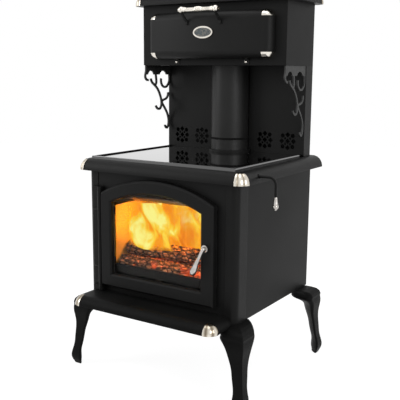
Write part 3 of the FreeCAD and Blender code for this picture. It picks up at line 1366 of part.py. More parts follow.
def closet_door_block(name, grow):
    """The door's bowed outside with rounded corners and rim, grown on its front and sides."""
    half = f"({CLOSET_DOOR_HALF} + ({grow}))"
    radius = f"({BOW_RADIUS} + ({grow}))"
    side_end = f"({BOW_CENTRE} - sqrt({radius} ^ 2 - {half} ^ 2))"
    outline = [
        (minus(half), side_end, radius),
        (half, side_end),
        (half, CLOSET_DOOR_BACK),
        (minus(half), CLOSET_DOOR_BACK),
    ]
    low = f"{CLOSET_DOOR_BOTTOM} - ({grow})"
    high = f"{CLOSET_DOOR_TOP} + ({grow})"
    body = pad(name, "XY", [outline], low, high)
    reach = val(radius)
    centre = val(BOW_CENTRE)

    def on_bow(edge):
        spots = edge.discretize(5)
        return all(abs(math.hypot(spot.x, spot.y - centre) - reach) < 0.01 for spot in spots)

    dress(body, "Fillet", lambda edge: runs_along(edge, 1), f"closet_door_corner + ({grow})")
    dress(body, "Fillet", on_bow, f"closet_door_round + ({grow})")
    return body


door_pan = closet_door_block("closet_door_outside", "0")
door_hollow = closet_door_block("closet_door_inside", "-closet_door_wall")
node("closet_door_panel", cut("closet_door_panel", door_pan, door_hollow))
LINER_EDGE = "(closet_door_wall + seat_gap)"
liner_loop = rectangle(
    both(f"{CLOSET_DOOR_HALF} - {LINER_EDGE}"),
    (f"{CLOSET_DOOR_BOTTOM} + {LINER_EDGE}", f"{CLOSET_DOOR_TOP} - {LINER_EDGE}"),
)
liner = pad("closet_door_liner", "XZ", [liner_loop], f"{CLOSET_DOOR_BACK} - closet_sheet", CLOSET_DOOR_BACK)
dress(liner, "Fillet", lambda edge: runs_along(edge, 1), f"closet_door_corner - {LINER_EDGE}")
node("closet_door_liner", liner)
DOOR_CAP_X = (f"{CLOSET_DOOR_HALF} - door_cap_width", f"{CLOSET_DOOR_HALF} + door_cap_width")
DOOR_CAP_Y = (f"{CLOSET_DOOR_FACE} - door_cap_width", CLOSET_DOOR_BACK)
DOOR_CAP_ZONES = [
    (x, DOOR_CAP_Y, (f"{end} - door_cap_height", f"{end} + door_cap_height"))
    for x in (DOOR_CAP_X, mirror_span(DOOR_CAP_X))
    for end in CLOSET_DOOR_Z
]
node("closet_door_caps", corner_caps("closet_door_caps", closet_door_block, DOOR_CAP_ZONES))
# What is screwed to the bowed face is cut to its curve
door_seat = closet_door_block("door_seat", "cap_gap")

BAR_Y = f"({CLOSET_DOOR_FACE} - bar_out)"
BAR_Z = f"({CLOSET_DOOR_TOP} - bar_drop)"
BAR_HALF = "(bar_length / 2)"
bar_parts = [
    round_bar("bar_rod", "X", (BAR_Y, BAR_Z), "bar_radius", *both(BAR_HALF)),
    round_bar("bar_collar", "X", (BAR_Y, BAR_Z), "bar_ring", *both("bar_ring_width / 2")),
    ball("bar_ball_left", (minus(BAR_HALF), BAR_Y, BAR_Z), "bar_ball"),
    ball("bar_ball_right", (BAR_HALF, BAR_Y, BAR_Z), "bar_ball"),
]
node("closet_handle_bar", fuse("closet_handle_bar", *bar_parts))
STRAP_FOOT_Z = f"({BAR_Z} - strap_drop)"
# Each strap holds a ball of the bar in a saddle
SADDLE = "(bar_ball + slip_gap)"
STRAP_TOP = f"({BAR_Z} - sqrt({SADDLE} ^ 2 - strap_thickness ^ 2))"
STRAP_BACK = f"{CLOSET_DOOR_FACE} + closet_door_bow"
strap_outline = [
    (STRAP_BACK, f"{STRAP_FOOT_Z} - strap_foot"),
    (STRAP_BACK, STRAP_FOOT_Z),
    (CLOSET_DOOR_FACE, STRAP_FOOT_Z),
    (f"{BAR_Y} + strap_thickness", STRAP_TOP, SADDLE, "hollow"),
    (f"{BAR_Y} - strap_thickness", STRAP_TOP),
    (f"{CLOSET_DOOR_FACE} - strap_thickness", f"{STRAP_FOOT_Z} - strap_thickness"),
    (f"{CLOSET_DOOR_FACE} - strap_thickness", f"{STRAP_FOOT_Z} - strap_foot"),
]
strap_blank = pad(
    "strap_blank",
    "YZ",
    [strap_outline],
    f"{BAR_HALF} - strap_width / 2",
    f"{BAR_HALF} + strap_width / 2",
)
right_strap = cut("right_strap", strap_blank, door_seat)
node(
    "closet_handle_straps",
    group("closet_handle_straps", right_strap, mirrored("left_strap", right_strap)),
)


def oval(name, half_width, half_height, low, high):
    """An upright oval plate on the closet door's face."""
    outline = doc.addObject("Part::Ellipse", f"{name}_outline")
    place(outline, ("0", high, f"{CLOSET_DOOR_TOP} - badge_drop"), FreeCAD.Rotation(V(1, 0, 0), 90))
    bind(outline, "MajorRadius", half_width)
    bind(outline, "MinorRadius", half_height)
    item = doc.addObject("Part::Extrusion", name)
    item.Base = outline
    item.DirMode = "Custom"
    item.Dir = V(0, -1, 0)
    item.Solid = True
    bind(item, "LengthFwd", f"({high}) - ({low})")
    return item


BADGE_BACK = f"{CLOSET_DOOR_FACE} + badge_thickness"
bezel_blank = oval(
    "bezel_blank",
    "badge_half_width",
    "badge_half_height",
    f"{CLOSET_DOOR_FACE} - badge_thickness",
    BADGE_BACK,
)
INLAY = ("badge_half_width - badge_border", "badge_half_height - badge_border")
bezel_hole = oval(
    "bezel_hole",
    *INLAY,
    f"{CLOSET_DOOR_FACE} - badge_thickness - cut_past",
    f"{BADGE_BACK} + cut_past",
)
node("badge_bezel", cut("badge_bezel", bezel_blank, bezel_hole, door_seat))
inlay_blank = oval("inlay_blank", *INLAY, f"{CLOSET_DOOR_FACE} - badge_inlay", BADGE_BACK)
node("badge_inlay", cut("badge_inlay", inlay_blank, door_seat))

LUG_Y = f"({CLOSET_FRONT} - lug_axis_out)"
LUG_Z = f"({CLOSET_DOOR_BOTTOM} - lug_axis_drop)"
LUG_LINE = (LUG_Y, LUG_Z)
LEAF_TOP = f"({CLOSET_DOOR_BOTTOM} - lug_gap)"
LEAF_FRONT = f"({CLOSET_FRONT} - leaf_thickness)"
lugs = []
leaves = []
lug_pins = []
screws = []
for name, middle in (("left", "(-lug_x)"), ("right", "lug_x")):
    lug_x = (f"{middle} - lug_half", f"{middle} + lug_half")
    lug_block = box(
        f"{name}_lug_block",
        lug_x,
        (f"{LUG_Y} - lug_radius", f"{LUG_Y} + lug_radius"),
        (LUG_Z, CLOSET_DOOR_BOTTOM),
    )
    lug_round = round_bar(f"{name}_lug_round", "X", LUG_LINE, "lug_radius", *lug_x)
    lug_bore = round_bar(
        f"{name}_lug_bore",
        "X",
        LUG_LINE,
        "lug_pin + running_gap",
        f"{lug_x[0]} - cut_past",
        f"{lug_x[1]} + cut_past",
    )
    lugs.append(cut(f"{name}_lug", fuse(f"{name}_lug_solid", lug_block, lug_round), lug_bore))
    leaf_x = (f"{middle} - leaf_half", f"{middle} + leaf_half")
    pieces = [
        box(
            f"{name}_leaf_plate",
            leaf_x,
            (LEAF_FRONT, CLOSET_FRONT),
            (f"{LEAF_TOP} - leaf_height", LEAF_TOP),
        )
    ]
    for side, span in (
        ("a", (leaf_x[0], f"{lug_x[0]} - lug_gap")),
        ("b", (f"{lug_x[1]} + lug_gap", leaf_x[1])),
    ):
        pieces.append(round_bar(f"{name}_eye_{side}", "X", LUG_LINE, "lug_radius", *span))
        pieces.append(
            box(
                f"{name}_root_{side}",
                span,
                (LUG_Y, LEAF_FRONT),
                (f"{LUG_Z} - lug_radius", f"{LUG_Z} + lug_radius"),
            )
        )
    leaf_solid = fuse(f"{name}_leaf_solid", *pieces)
    leaf_bore = round_bar(
        f"{name}_leaf_bore",
        "X",
        LUG_LINE,
        "lug_pin",
        f"{leaf_x[0]} - cut_past",
        f"{leaf_x[1]} + cut_past",
    )
    leaves.append(cut(f"{name}_leaf", leaf_solid, leaf_bore))
    lug_pins.append(round_bar(f"{name}_lug_pin", "X", LUG_LINE, "lug_pin", *leaf_x))
    dome_z = f"({LEAF_TOP} - leaf_screw_drop)"
    dome = ball(f"{name}_dome", (middle, LEAF_FRONT, dome_z), "leaf_screw")
    dome_block = box(
        f"{name}_dome_block",
        (f"{middle} - leaf_screw", f"{middle} + leaf_screw"),
        (f"{LEAF_FRONT} - leaf_screw", LEAF_FRONT),
        (f"{dome_z} - leaf_screw", f"{dome_z} + leaf_screw"),
    )
    screws.append(common(f"{name}_closet_screw", dome, dome_block))
node("closet_door_lugs", group("closet_door_lugs", *lugs))
node("closet_hinges", group("closet_hinges", *leaves, *lug_pins))
node("closet_hinge_screws", group("closet_hinge_screws", *screws))

# Check every object and every sub-part, then write the sub-parts
doc.recompute()
failed = [item.Name for item in doc.Objects if "Invalid" in item.State or "Error" in item.State]
if failed:
    raise RuntimeError(f"failed objects: {failed}")
for item in NODES:
    shape = item.Shape
    if shape.isNull() or not shape.isValid() or not shape.Solids:
        raise RuntimeError(f"bad shape: {item.Label}")
os.makedirs("parts", exist_ok=True)
for item in NODES:
    item.Shape.exportStep(f"parts/{item.Label}.step")
    limits = item.Shape.BoundBox
    print(
        f"{item.Label}: {len(item.Shape.Solids)} solids, {item.Shape.Volume / 1000:.1f} cm3,"
        f" X {limits.XMin:.1f} {limits.XMax:.1f} Y {limits.YMin:.1f} {limits.YMax:.1f}"
        f" Z {limits.ZMin:.1f} {limits.ZMax:.1f}"
    )
print(f"{len(NODES)} sub-parts")
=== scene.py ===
# %% [markdown]
# # A wood cook stove, dressed around its CAD frame
# The CAD solids come in as a fixed frame, in metres, with +X to the right of the fire door,
# +Y to the back and +Z up. Each lesson below adds one finish or one piece to that frame.

# %% Load the frame
import json
import math

import bmesh
import bpy
import numpy as np
from mathutils import Matrix, Vector


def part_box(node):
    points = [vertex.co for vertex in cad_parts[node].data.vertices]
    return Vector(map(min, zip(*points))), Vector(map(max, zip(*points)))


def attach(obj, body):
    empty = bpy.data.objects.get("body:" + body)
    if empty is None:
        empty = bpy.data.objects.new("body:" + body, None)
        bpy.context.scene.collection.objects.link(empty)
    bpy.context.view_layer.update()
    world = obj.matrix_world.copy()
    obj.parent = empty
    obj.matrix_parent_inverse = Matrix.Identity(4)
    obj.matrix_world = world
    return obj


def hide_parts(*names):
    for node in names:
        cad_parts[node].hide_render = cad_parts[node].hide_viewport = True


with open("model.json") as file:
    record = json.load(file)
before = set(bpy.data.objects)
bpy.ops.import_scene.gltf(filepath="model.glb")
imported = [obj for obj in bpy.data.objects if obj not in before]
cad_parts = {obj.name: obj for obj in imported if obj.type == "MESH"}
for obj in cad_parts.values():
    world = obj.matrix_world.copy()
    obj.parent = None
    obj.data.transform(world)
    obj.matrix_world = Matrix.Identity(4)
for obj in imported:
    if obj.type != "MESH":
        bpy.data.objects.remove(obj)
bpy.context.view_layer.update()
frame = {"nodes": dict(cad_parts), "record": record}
scene = bpy.context.scene
scene.view_settings.view_transform = "Standard"

# %% [markdown]
# ## Camera
# A product picture like this one is taken from a little above the cooking plate, to the right
# of the fire door. The viewing angle could be set by eye, but the edges of the casing fix it:
# heading, pitch and roll give three axes, and those are the columns of the camera's matrix.

# %% Camera
PICTURE_WIDTH, FOCAL_PIXELS, SENSOR_WIDTH = 400, 704.64, 36
HEADING, PITCH, ROLL = (math.radians(angle) for angle in (32.86, 10.31, 0.44))
CAMERA_PLACE = Vector((1.49653, -2.33419, 1.16188))

camera_data = bpy.data.cameras.new("camera")
camera_data.sensor_width = SENSOR_WIDTH
camera_data.lens = FOCAL_PIXELS * SENSOR_WIDTH / PICTURE_WIDTH
camera = bpy.data.objects.new("camera", camera_data)
scene.collection.objects.link(camera)
scene.camera = camera
forward = Vector((
    -math.sin(HEADING) * math.cos(PITCH),
    math.cos(HEADING) * math.cos(PITCH),
    -math.sin(PITCH),
))
level_right = Vector((math.cos(HEADING), math.sin(HEADING), 0))
level_up = level_right.cross(forward)
right = math.cos(ROLL) * level_right + math.sin(ROLL) * level_up
up = math.cos(ROLL) * level_up - math.sin(ROLL) * level_right
turn = Matrix((right, up, -forward)).transposed()
camera.matrix_world = Matrix.Translation(CAMERA_PLACE) @ turn.to_4x4()
print("lens", round(camera_data.lens, 2), "mm")

# %% [markdown]
# ## Shader helpers
# Every finish here is a graph of nodes. It could be drawn in the node editor, but written out it
# can be read and changed line by line. Small helpers keep each graph as short as its recipe: one
# makes a node and sets its sockets, and a socket that is given another node's output is linked to
# it. The patterns read Object coordinates, so they stay put when a door opens.


# %% Node helpers
def set_socket(tree, socket, value):
    """Links a socket to another node's output, or gives it a plain value."""
    if isinstance(value, bpy.types.NodeSocket):
        tree.links.new(value, socket)
    else:
        socket.default_value = value


def add_node(tree, kind, settings=None, **sockets):
    """Makes a node; settings are its properties, and sockets its inputs, by name or as i0, i1."""
    node = tree.nodes.new(kind)
    for name, value in (settings or {}).items():
        setattr(node, name, value)
    for name, value in sockets.items():
        key = int(name[1:]) if name[1:].isdigit() else name.replace("_", " ")
        set_socket(tree, node.inputs[key], value)
    return node


def object_place(tree, stretch=(1, 1, 1)):
    """Object coordinates, stretched along the axes."""
    place = add_node(tree, "ShaderNodeTexCoord").outputs["Object"]
    return add_node(tree, "ShaderNodeMapping", Vector=place, Scale=stretch).outputs["Vector"]


def noise(tree, place, scale, detail=2.0, roughness=0.5, distortion=0.0):
    """A cloudy pattern of values around a half."""
    return add_node(
        tree, "ShaderNodeTexNoise", Vector=place, Scale=scale, Detail=detail,
        Roughness=roughness, Distortion=distortion,
    ).outputs["Fac"]


def ramp(tree, value, *stops):
    """A colour ramp; each stop is a place from 0 to 1 and a grey or a colour."""
    node = add_node(tree, "ShaderNodeValToRGB", Fac=value)
    elements = node.color_ramp.elements
    for place, _ in stops[2:]:
        elements.new(place)
    for element, (place, colour) in zip(elements, stops):
        element.position = place
        element.color = (colour,) * 3 + (1,) if isinstance(colour, (int, float)) else (*colour, 1)
    return node.outputs["Color"]


def math_node(tree, operation, first, second):
    return add_node(tree, "ShaderNodeMath", {"operation": operation}, i0=first, i1=second).outputs[0]


def times(tree, first, second):
    return math_node(tree, "MULTIPLY", first, second)


def plus(tree, first, second):
    return math_node(tree, "ADD", first, second)


def minus(tree, first, second):
    return math_node(tree, "SUBTRACT", first, second)


def spread(tree, value, low, high, start=0.0, stop=1.0):
    """A value between start and stop, spread over low to high."""
    return add_node(
        tree, "ShaderNodeMapRange", Value=value, From_Min=start, From_Max=stop, To_Min=low, To_Max=high,
    ).outputs["Result"]


def mix_colour(tree, share, first, second, blend="MIX"):
    """Two colours blended by a share of the second."""
    return add_node(
        tree, "ShaderNodeMix", {"data_type": "RGBA", "blend_type": blend}, i0=share, i6=first, i7=second,
    ).outputs[2]


def bump(tree, height, depth):
    """A normal bent by a height pattern that is depth metres deep."""
    return add_node(tree, "ShaderNodeBump", Height=height, Distance=depth).outputs["Normal"]


def finish_material(name, recipe, **sockets):
    """A Principled material; the recipe returns the sockets that change over the surface."""
    material = bpy.data.materials.new(name)
    material.use_nodes = True
    tree = material.node_tree
    shader = tree.nodes["Principled BSDF"]
    for socket, value in {**sockets, **recipe(tree)}.items():
        set_socket(tree, shader.inputs[socket.replace("_", " ")], value)
    return material


# %% [markdown]
# ## Two effects that many finishes share
# Stove paint is never one flat black: it is sprayed on and baked, so it clouds softly and has a
# fine grain, coarser over sand castings. Handled metal also gathers a thin film of dust and
# soot. The nodes could be repeated in every finish, but as node groups they are built once and
# placed in each finish with its own values.


# %% Shared node groups
def new_group(name, inputs, outputs):
    """A node group; inputs are (label, kind, value) and outputs are (label, kind)."""
    group = bpy.data.node_groups.new(name, "ShaderNodeTree")
    for label, kind, value in inputs:
        socket = group.interface.new_socket(label, in_out="INPUT", socket_type=kind)
        if value is not None:
            socket.default_value = value
    for label, kind in outputs:
        group.interface.new_socket(label, in_out="OUTPUT", socket_type=kind)
    start = group.nodes.new("NodeGroupInput")
    return group, start.outputs, group.nodes.new("NodeGroupOutput").inputs


def place_group(tree, group, **sockets):
    """The outputs of a group that is placed in a tree with its own values."""
    return add_node(tree, "ShaderNodeGroup", {"node_tree": group}, **sockets).outputs


FLOAT, COLOUR, VECTOR = "NodeSocketFloat", "NodeSocketColor", "NodeSocketVector"
GRAIN_SHARE, ROUGHNESS_START = 0.35, 0.3

grain, given, result = new_group(
    "paint_grain",
    [("Place", VECTOR, None), ("Cloud Scale", FLOAT, 6.0), ("Grain Scale", FLOAT, 900.0),
     ("Dark", COLOUR, (0, 0, 0, 1)), ("Pale", COLOUR, (1, 1, 1, 1)),
     ("Smooth", FLOAT, 0.35), ("Rough", FLOAT, 0.5)],
    [("Colour", COLOUR), ("Roughness", FLOAT), ("Height", FLOAT)],
)
cloud = noise(grain, given["Place"], given["Cloud Scale"], detail=4, roughness=0.6)
fine = noise(grain, given["Place"], given["Grain Scale"], detail=2, roughness=0.6)
both = plus(grain, times(grain, fine, GRAIN_SHARE), cloud)
worn = spread(grain, both, given["Smooth"], given["Rough"], start=ROUGHNESS_START)
clouded = mix_colour(grain, ramp(grain, cloud, (0.3, 0.0), (0.7, 1.0)), given["Dark"], given["Pale"])
grain.links.new(clouded, result["Colour"])
grain.links.new(worn, result["Roughness"])
grain.links.new(fine, result["Height"])

soot, given, result = new_group(
    "soot_film",
    [("Place", VECTOR, None), ("Scale", FLOAT, 9.0), ("Clean", COLOUR, (1, 1, 1, 1)),
     ("Sooty", COLOUR, (0.1, 0.09, 0.08, 1)), ("Amount", FLOAT, 0.5)],
    [("Colour", COLOUR), ("Mask", FLOAT)],
)
patches = noise(soot, given["Place"], given["Scale"], detail=5, roughness=0.65, distortion=0.4)
mask = times(soot, ramp(soot, patches, (0.35, 0.0), (0.68, 1.0)), given["Amount"])
soot.links.new(mix_colour(soot, mask, given["Clean"], given["Sooty"]), result["Colour"])
soot.links.new(mask, result["Mask"])
print("groups", [group.name for group in bpy.data.node_groups])

# %% [markdown]
# ## Black finishes
# The stove wears many blacks: satin paint on its castings, a smoother satin on its bent sheets,
# a duller coat on legs and lip, dry soot by the fire, and the polished cooking plate, which
# mirrors the pipe. One black for all would be simpler, but grain and shine are what tells a
# casting from a sheet, so the coats share one recipe and each has its own values. Two blacks are
# painted light: a darker copy of the sheet black is painted shade on the sides, which the side
# lamps light more than the front, and a paler copy of the cast black is painted light on the
# scroll brackets. The edges are softened in the shader, as a coat of paint does, and the solids
# stay as they are.

# %% Black finishes
WARMTH = 0.98
EDGE_SAMPLES = 4


def grey(value):
    """A grey that is a touch warm."""
    return (value, value, value * WARMTH, 1)


def black_paint(dark, pale, smooth, rough, coat_grain):
    """Paint between two greys and two roughnesses, with a grain and softened edges."""
    cloud_scale, grain_scale, grain_depth, edge = coat_grain

    def recipe(tree):
        out = place_group(
            tree, grain, Place=object_place(tree), Cloud_Scale=cloud_scale, Grain_Scale=grain_scale,
            Dark=grey(dark), Pale=grey(pale), Smooth=smooth, Rough=rough,
        )
        soft_edge = add_node(tree, "ShaderNodeBevel", {"samples": EDGE_SAMPLES}, Radius=edge)
        normal = bump(tree, out["Height"], grain_depth)
        tree.links.new(soft_edge.outputs["Normal"], normal.node.inputs["Normal"])
        return {"Base_Color": out["Colour"], "Roughness": out["Roughness"], "Normal": normal}
    return recipe


# Each grain: the scale of its clouds, the scale and depth of its grain, and the edge's radius.
CAST_GRAIN = (7, 700, 0.0004, 0.0025)
SHEET_GRAIN = (4, 1100, 0.00015, 0.0012)
CLOSET_GRAIN = (5, 900, 0.0002, 0.0015)
SCROLL_GRAIN = (9, 700, 0.0004, 0.0015)
SOOT_GRAIN = (12, 500, 0.0008, 0.001)
PLATE_GRAIN = (5, 300, 0.00002, 0.001)

# Each black: its darkest and palest grey, its least and most roughness, its grain, and its shine.
BLACKS = {
    "cast_black": (0.007, 0.011, 0.34, 0.50, CAST_GRAIN, 0.12),
    "leg_black": (0.006, 0.010, 0.38, 0.52, CAST_GRAIN, 0.05),
    "sheet_black": (0.011, 0.015, 0.38, 0.50, SHEET_GRAIN, 0.12),
    # A darker copy of the sheet black: painted shade on the side panels and the closet shell.
    "side_shaded_black": (0.008, 0.011, 0.38, 0.50, SHEET_GRAIN, 0.09),
    "pipe_black": (0.013, 0.018, 0.34, 0.44, SHEET_GRAIN, 0.25),
    "closet_black": (0.008, 0.011, 0.40, 0.50, CLOSET_GRAIN, 0.14),
    # A paler copy of the cast black: painted light on the scroll brackets.
    "scroll_lit_black": (0.025, 0.045, 0.34, 0.50, SCROLL_GRAIN, 0.30),
    "soot_black": (0.004, 0.016, 0.70, 0.95, SOOT_GRAIN, 0.08),
}
black = {
    name: finish_material(name, black_paint(*paint), Specular_IOR_Level=shine)
    for name, (*paint, shine) in BLACKS.items()
}
plate_black = finish_material(
    "plate_black", black_paint(0.001, 0.002, 0.02, 0.05, PLATE_GRAIN),
    Specular_IOR_Level=0.5, IOR=1.65, Coat_Weight=0.8, Coat_Roughness=0.02, Coat_IOR=1.7)
print("black finishes", [*black, plate_black.name])

# %% [markdown]
# ## Bright metals
# The trim is nickel plate: a slightly warm mirror with faint clouds where it was buffed. Lever
# and knob are satin, so their metal is greyer and holds more soot. Bare steel inside the firebox
# has a heat bloom from straw to blue-grey, which a slow noise and a ramp give. The grooves of the
# caps' flutes are darkened as painted shade, standing in for their shadow and dark reflections;
# an attribute that marks the flutes makes the painted shade follow them exactly.

# %% Bright metals
NICKEL, SATIN, NICKEL_SOOT = (0.80, 0.76, 0.69, 1), (0.52, 0.50, 0.48, 1), (0.36, 0.32, 0.28, 1)
STEEL, STRAW, BLUE_GREY = (0.10, 0.095, 0.09), (0.19, 0.165, 0.13), (0.13, 0.135, 0.15)
# Painted shade for the flutes: dark in the grooves, near white on the lobes.
DEEP_FLUTE_SHADE, MIDDLE_FLUTE_SHADE, HIGH_FLUTE_SHADE = (0.30, 0.26, 0.21), (0.68, 0.64, 0.57), (0.95, 0.94, 0.92)


def nickel(smooth, rough, soot_amount, clean=NICKEL):
    """Plate between two roughnesses, with a soot film and fine scratches."""
    def recipe(tree):
        place = object_place(tree)
        film = place_group(
            tree, soot, Place=place, Scale=60.0, Clean=clean, Sooty=NICKEL_SOOT, Amount=soot_amount)
        clouds = noise(tree, place, scale=45, detail=3)
        scratches = noise(tree, object_place(tree, (1, 1, 0.15)), scale=1500, detail=2)
        return {
            "Base_Color": film["Colour"],
            "Roughness": spread(tree, clouds, smooth, rough),
            "Normal": bump(tree, scratches, depth=0.00003),
        }
    return recipe


def heat_steel(tree):
    """Brushed steel with a heat bloom."""
    bloom = noise(tree, object_place(tree), scale=7, detail=4, roughness=0.6)
    brushed = noise(tree, object_place(tree, (0.1, 1, 1)), scale=900, detail=2)
    return {
        "Base_Color": ramp(tree, bloom, (0.3, STEEL), (0.55, STRAW), (0.75, BLUE_GREY)),
        "Roughness": spread(tree, bloom, low=0.35, high=0.6),
        "Normal": bump(tree, brushed, depth=0.0001),
    }


def fluted_nickel(tree):
    """Nickel with painted groove shade from the flute_shade attribute: 0 in a groove, 1 on a lobe."""
    film = nickel(0.14, 0.30, 0.4)(tree)
    groove = add_node(tree, "ShaderNodeAttribute", {"attribute_name": "flute_shade"}).outputs["Fac"]
    # The grooves get painted shade, standing in for their shadow and dark reflections.
    shade = ramp(tree, groove, (0.02, DEEP_FLUTE_SHADE), (0.45, MIDDLE_FLUTE_SHADE), (0.85, HIGH_FLUTE_SHADE))
    return {**film, "Base_Color": mix_colour(tree, 1.0, film["Base_Color"], shade, "MULTIPLY")}


bright_nickel = finish_material("bright_nickel", nickel(0.10, 0.24, 0.35), Metallic=1.0)
cap_nickel = finish_material("cap_nickel", fluted_nickel, Metallic=1.0)
satin_nickel = finish_material("satin_nickel", nickel(0.14, 0.26, 0.6, SATIN), Metallic=1.0)
fire_steel = finish_material("fire_steel", heat_steel, Metallic=0.9)
print("metals", [metal.name for metal in (bright_nickel, cap_nickel, satin_nickel, fire_steel)])


# %% [markdown]
# ## Firebrick, rope, glass and enamel
# Firebrick is pale pumice, pitted and sooted, but its colour here is orange: painted firelight,
# on top of the warm lamps in the firebox. The door rope is braided glass fibre, drawn by a
# diagonal wave pattern. The ceramic glass is clear with a light smoke film, and the badge is a
# plain mottled enamel with no lettering. Pictures of these stuffs could be wrapped on, but
# patterns from noise and waves need no unwrapping and stay sharp close up.


# %% Other finishes
def firebrick_recipe(tree):
    """Sooted brick with small round pits, its colour pushed to orange as painted firelight."""
    place = object_place(tree)
    # Both brick colours are orange rather than pale pumice: painted firelight.
    film = place_group(
        tree, soot, Place=place, Scale=7.0, Clean=(0.62, 0.38, 0.09, 1), Sooty=(0.32, 0.15, 0.03, 1),
        Amount=0.3,
    )
    pits = add_node(tree, "ShaderNodeTexVoronoi", Vector=place, Scale=260.0).outputs["Distance"]
    return {
        "Base_Color": film["Colour"],
        "Roughness": spread(tree, film["Mask"], low=0.85, high=1.0),
        "Normal": bump(tree, pits, depth=0.002),
    }


def rope_recipe(tree):
    """Dark braid with paler strands."""
    strands = add_node(
        tree, "ShaderNodeTexWave", {"bands_direction": "DIAGONAL"},
        Vector=object_place(tree), Scale=160.0, Distortion=1.5,
    ).outputs["Fac"]
    colour = ramp(tree, strands, (0.2, 0.03), (0.8, 0.14))
    return {"Base_Color": colour, "Normal": bump(tree, strands, depth=0.001)}


def glass_recipe(tree):
    """Clear glass with a light film of smoke."""
    smoke = noise(tree, object_place(tree), scale=6, detail=4)
    return {
        "Base_Color": ramp(tree, smoke, (0.35, (0.93, 0.92, 0.90)), (0.8, (1, 1, 1))),
        "Roughness": spread(tree, smoke, low=0.0, high=0.03),
    }


def enamel_recipe(tree):
    """Enamel with specks of blue, grey and tan."""
    specks = noise(tree, object_place(tree), scale=120, detail=5, roughness=0.7, distortion=1.0)
    colour = ramp(
        tree, specks, (0.32, (0.025, 0.045, 0.06)), (0.5, (0.08, 0.09, 0.09)),
        (0.62, (0.20, 0.18, 0.155)), (0.75, (0.06, 0.10, 0.125)))
    return {
        "Base_Color": colour,
        "Roughness": spread(tree, specks, low=0.2, high=0.4),
        "Normal": bump(tree, specks, depth=0.0006),
    }


firebrick = finish_material("firebrick", firebrick_recipe, Specular_IOR_Level=0.2)
gasket_rope = finish_material("gasket_rope", rope_recipe, Roughness=0.95)
clear_glass = finish_material("clear_glass", glass_recipe, Transmission_Weight=1.0, IOR=1.15)
badge_enamel = finish_material("badge_enamel", enamel_recipe, Metallic=0.5)
print("other finishes", [m.name for m in (firebrick, gasket_rope, clear_glass, badge_enamel)])

# %% [markdown]
# ## A finish for each CAD node
# The record names a material slot for every node. Each node could be given its finish by name,
# but most take the finish of their slot, so only those that wear another coat on the real stove
# are listed, by that coat.

# %% Give each CAD node its finish
SLOT_FINISH = {
    "cast_black": black["cast_black"], "black_sheet": black["sheet_black"], "gloss_top": plate_black,
    "nickel": bright_nickel, "steel": fire_steel, "firebrick": firebrick, "rope": gasket_rope,
    "door_glass": clear_glass, "badge_enamel": badge_enamel,
}
OTHER_COATS = (
    (satin_nickel, ("door_handle", "air_knob")),
    (black["cast_black"], ("air_rod", "rod_bushing")),
    (black["soot_black"], ("pipe_band", "baffle_boards", "log_retainer")),
    (black["pipe_black"], ("flue_pipe",)),
    (black["closet_black"], ("closet_door_panel",)),
    # Painted shade: the side panels and the closet shell get the darker copy of the sheet black.
    (black["side_shaded_black"], ("left_side_panel", "right_side_panel", "closet_shell")),
    # Painted light: the scroll brackets get the paler copy of the cast black.
    (black["scroll_lit_black"], ("scroll_bracket_left", "scroll_bracket_right")),
    (black["leg_black"],
     ("leg_front_left", "leg_front_right", "leg_rear_left", "leg_rear_right", "ash_lip")),
)
node_finish = {node: finish for finish, nodes in OTHER_COATS for node in nodes}
for part in frame["record"]["subparts"]:
    mesh = frame["nodes"][part["node"]].data
    mesh.materials.clear()
    mesh.materials.append(node_finish.get(part["node"], SLOT_FINISH[part["material_slot"]]))

# %% [markdown]
# ## Meshes from formulas
# The pieces that the frame has no fine shape for could be modelled by hand, but a formula is
# exact and gives the same mesh on every run. Each piece is a grid of points worked out at once
# with numpy. Quads join neighbours in the grid; a direction that closes on itself is wrapped.
# Poles are points that coincide, so doubles are merged, and the faces are then turned outwards.

# %% Mesh helpers
MERGE_DISTANCE = 1e-6
QUARTER, FULL_TURN = math.pi / 2, 2 * math.pi


def turns(count):
    """Angles once round, with the last one short of the first, along the second axis."""
    return np.linspace(0, FULL_TURN, count, endpoint=False)[None, :]


def grid_quads(rows, columns, wrap=False):
    """Quads of a grid; with wrap, the last column joins the first."""
    i, j = np.meshgrid(np.arange(rows - 1), np.arange(columns if wrap else columns - 1), indexing="ij")
    k = (j + 1) % columns
    corners = [i * columns + j, i * columns + k, (i + 1) * columns + k, (i + 1) * columns + j]
    return np.stack(corners, axis=-1).reshape(-1, 4)


def joined(*meshes):
    """Several (points, quads) as one."""
    points, quads, count = [], [], 0
    for some_points, some_quads in meshes:
        points.append(some_points)
        quads.append(some_quads + count)
        count += len(some_points)
    return np.concatenate(points), np.concatenate(quads)


def plate_between(outer, inner):
    """A closed wall between two grids of the same shape: each row is a loop out and back."""
    loop = np.concatenate([outer, inner[:, ::-1]], axis=1)
    rows, columns = loop.shape[:2]
    quads = [grid_quads(rows, columns, wrap=True)]
    k = np.arange(columns // 2 - 1)
    end = np.stack([k, k + 1, columns - 2 - k, columns - 1 - k], axis=-1)
    quads += [end, end + (rows - 1) * columns]
    return loop.reshape(-1, 3), np.concatenate(quads)


def tube(points):
    """A grid of closed rings, one ring to a row."""
    rows, columns = points.shape[:2]
    return points.reshape(-1, 3), grid_quads(rows, columns, wrap=True)


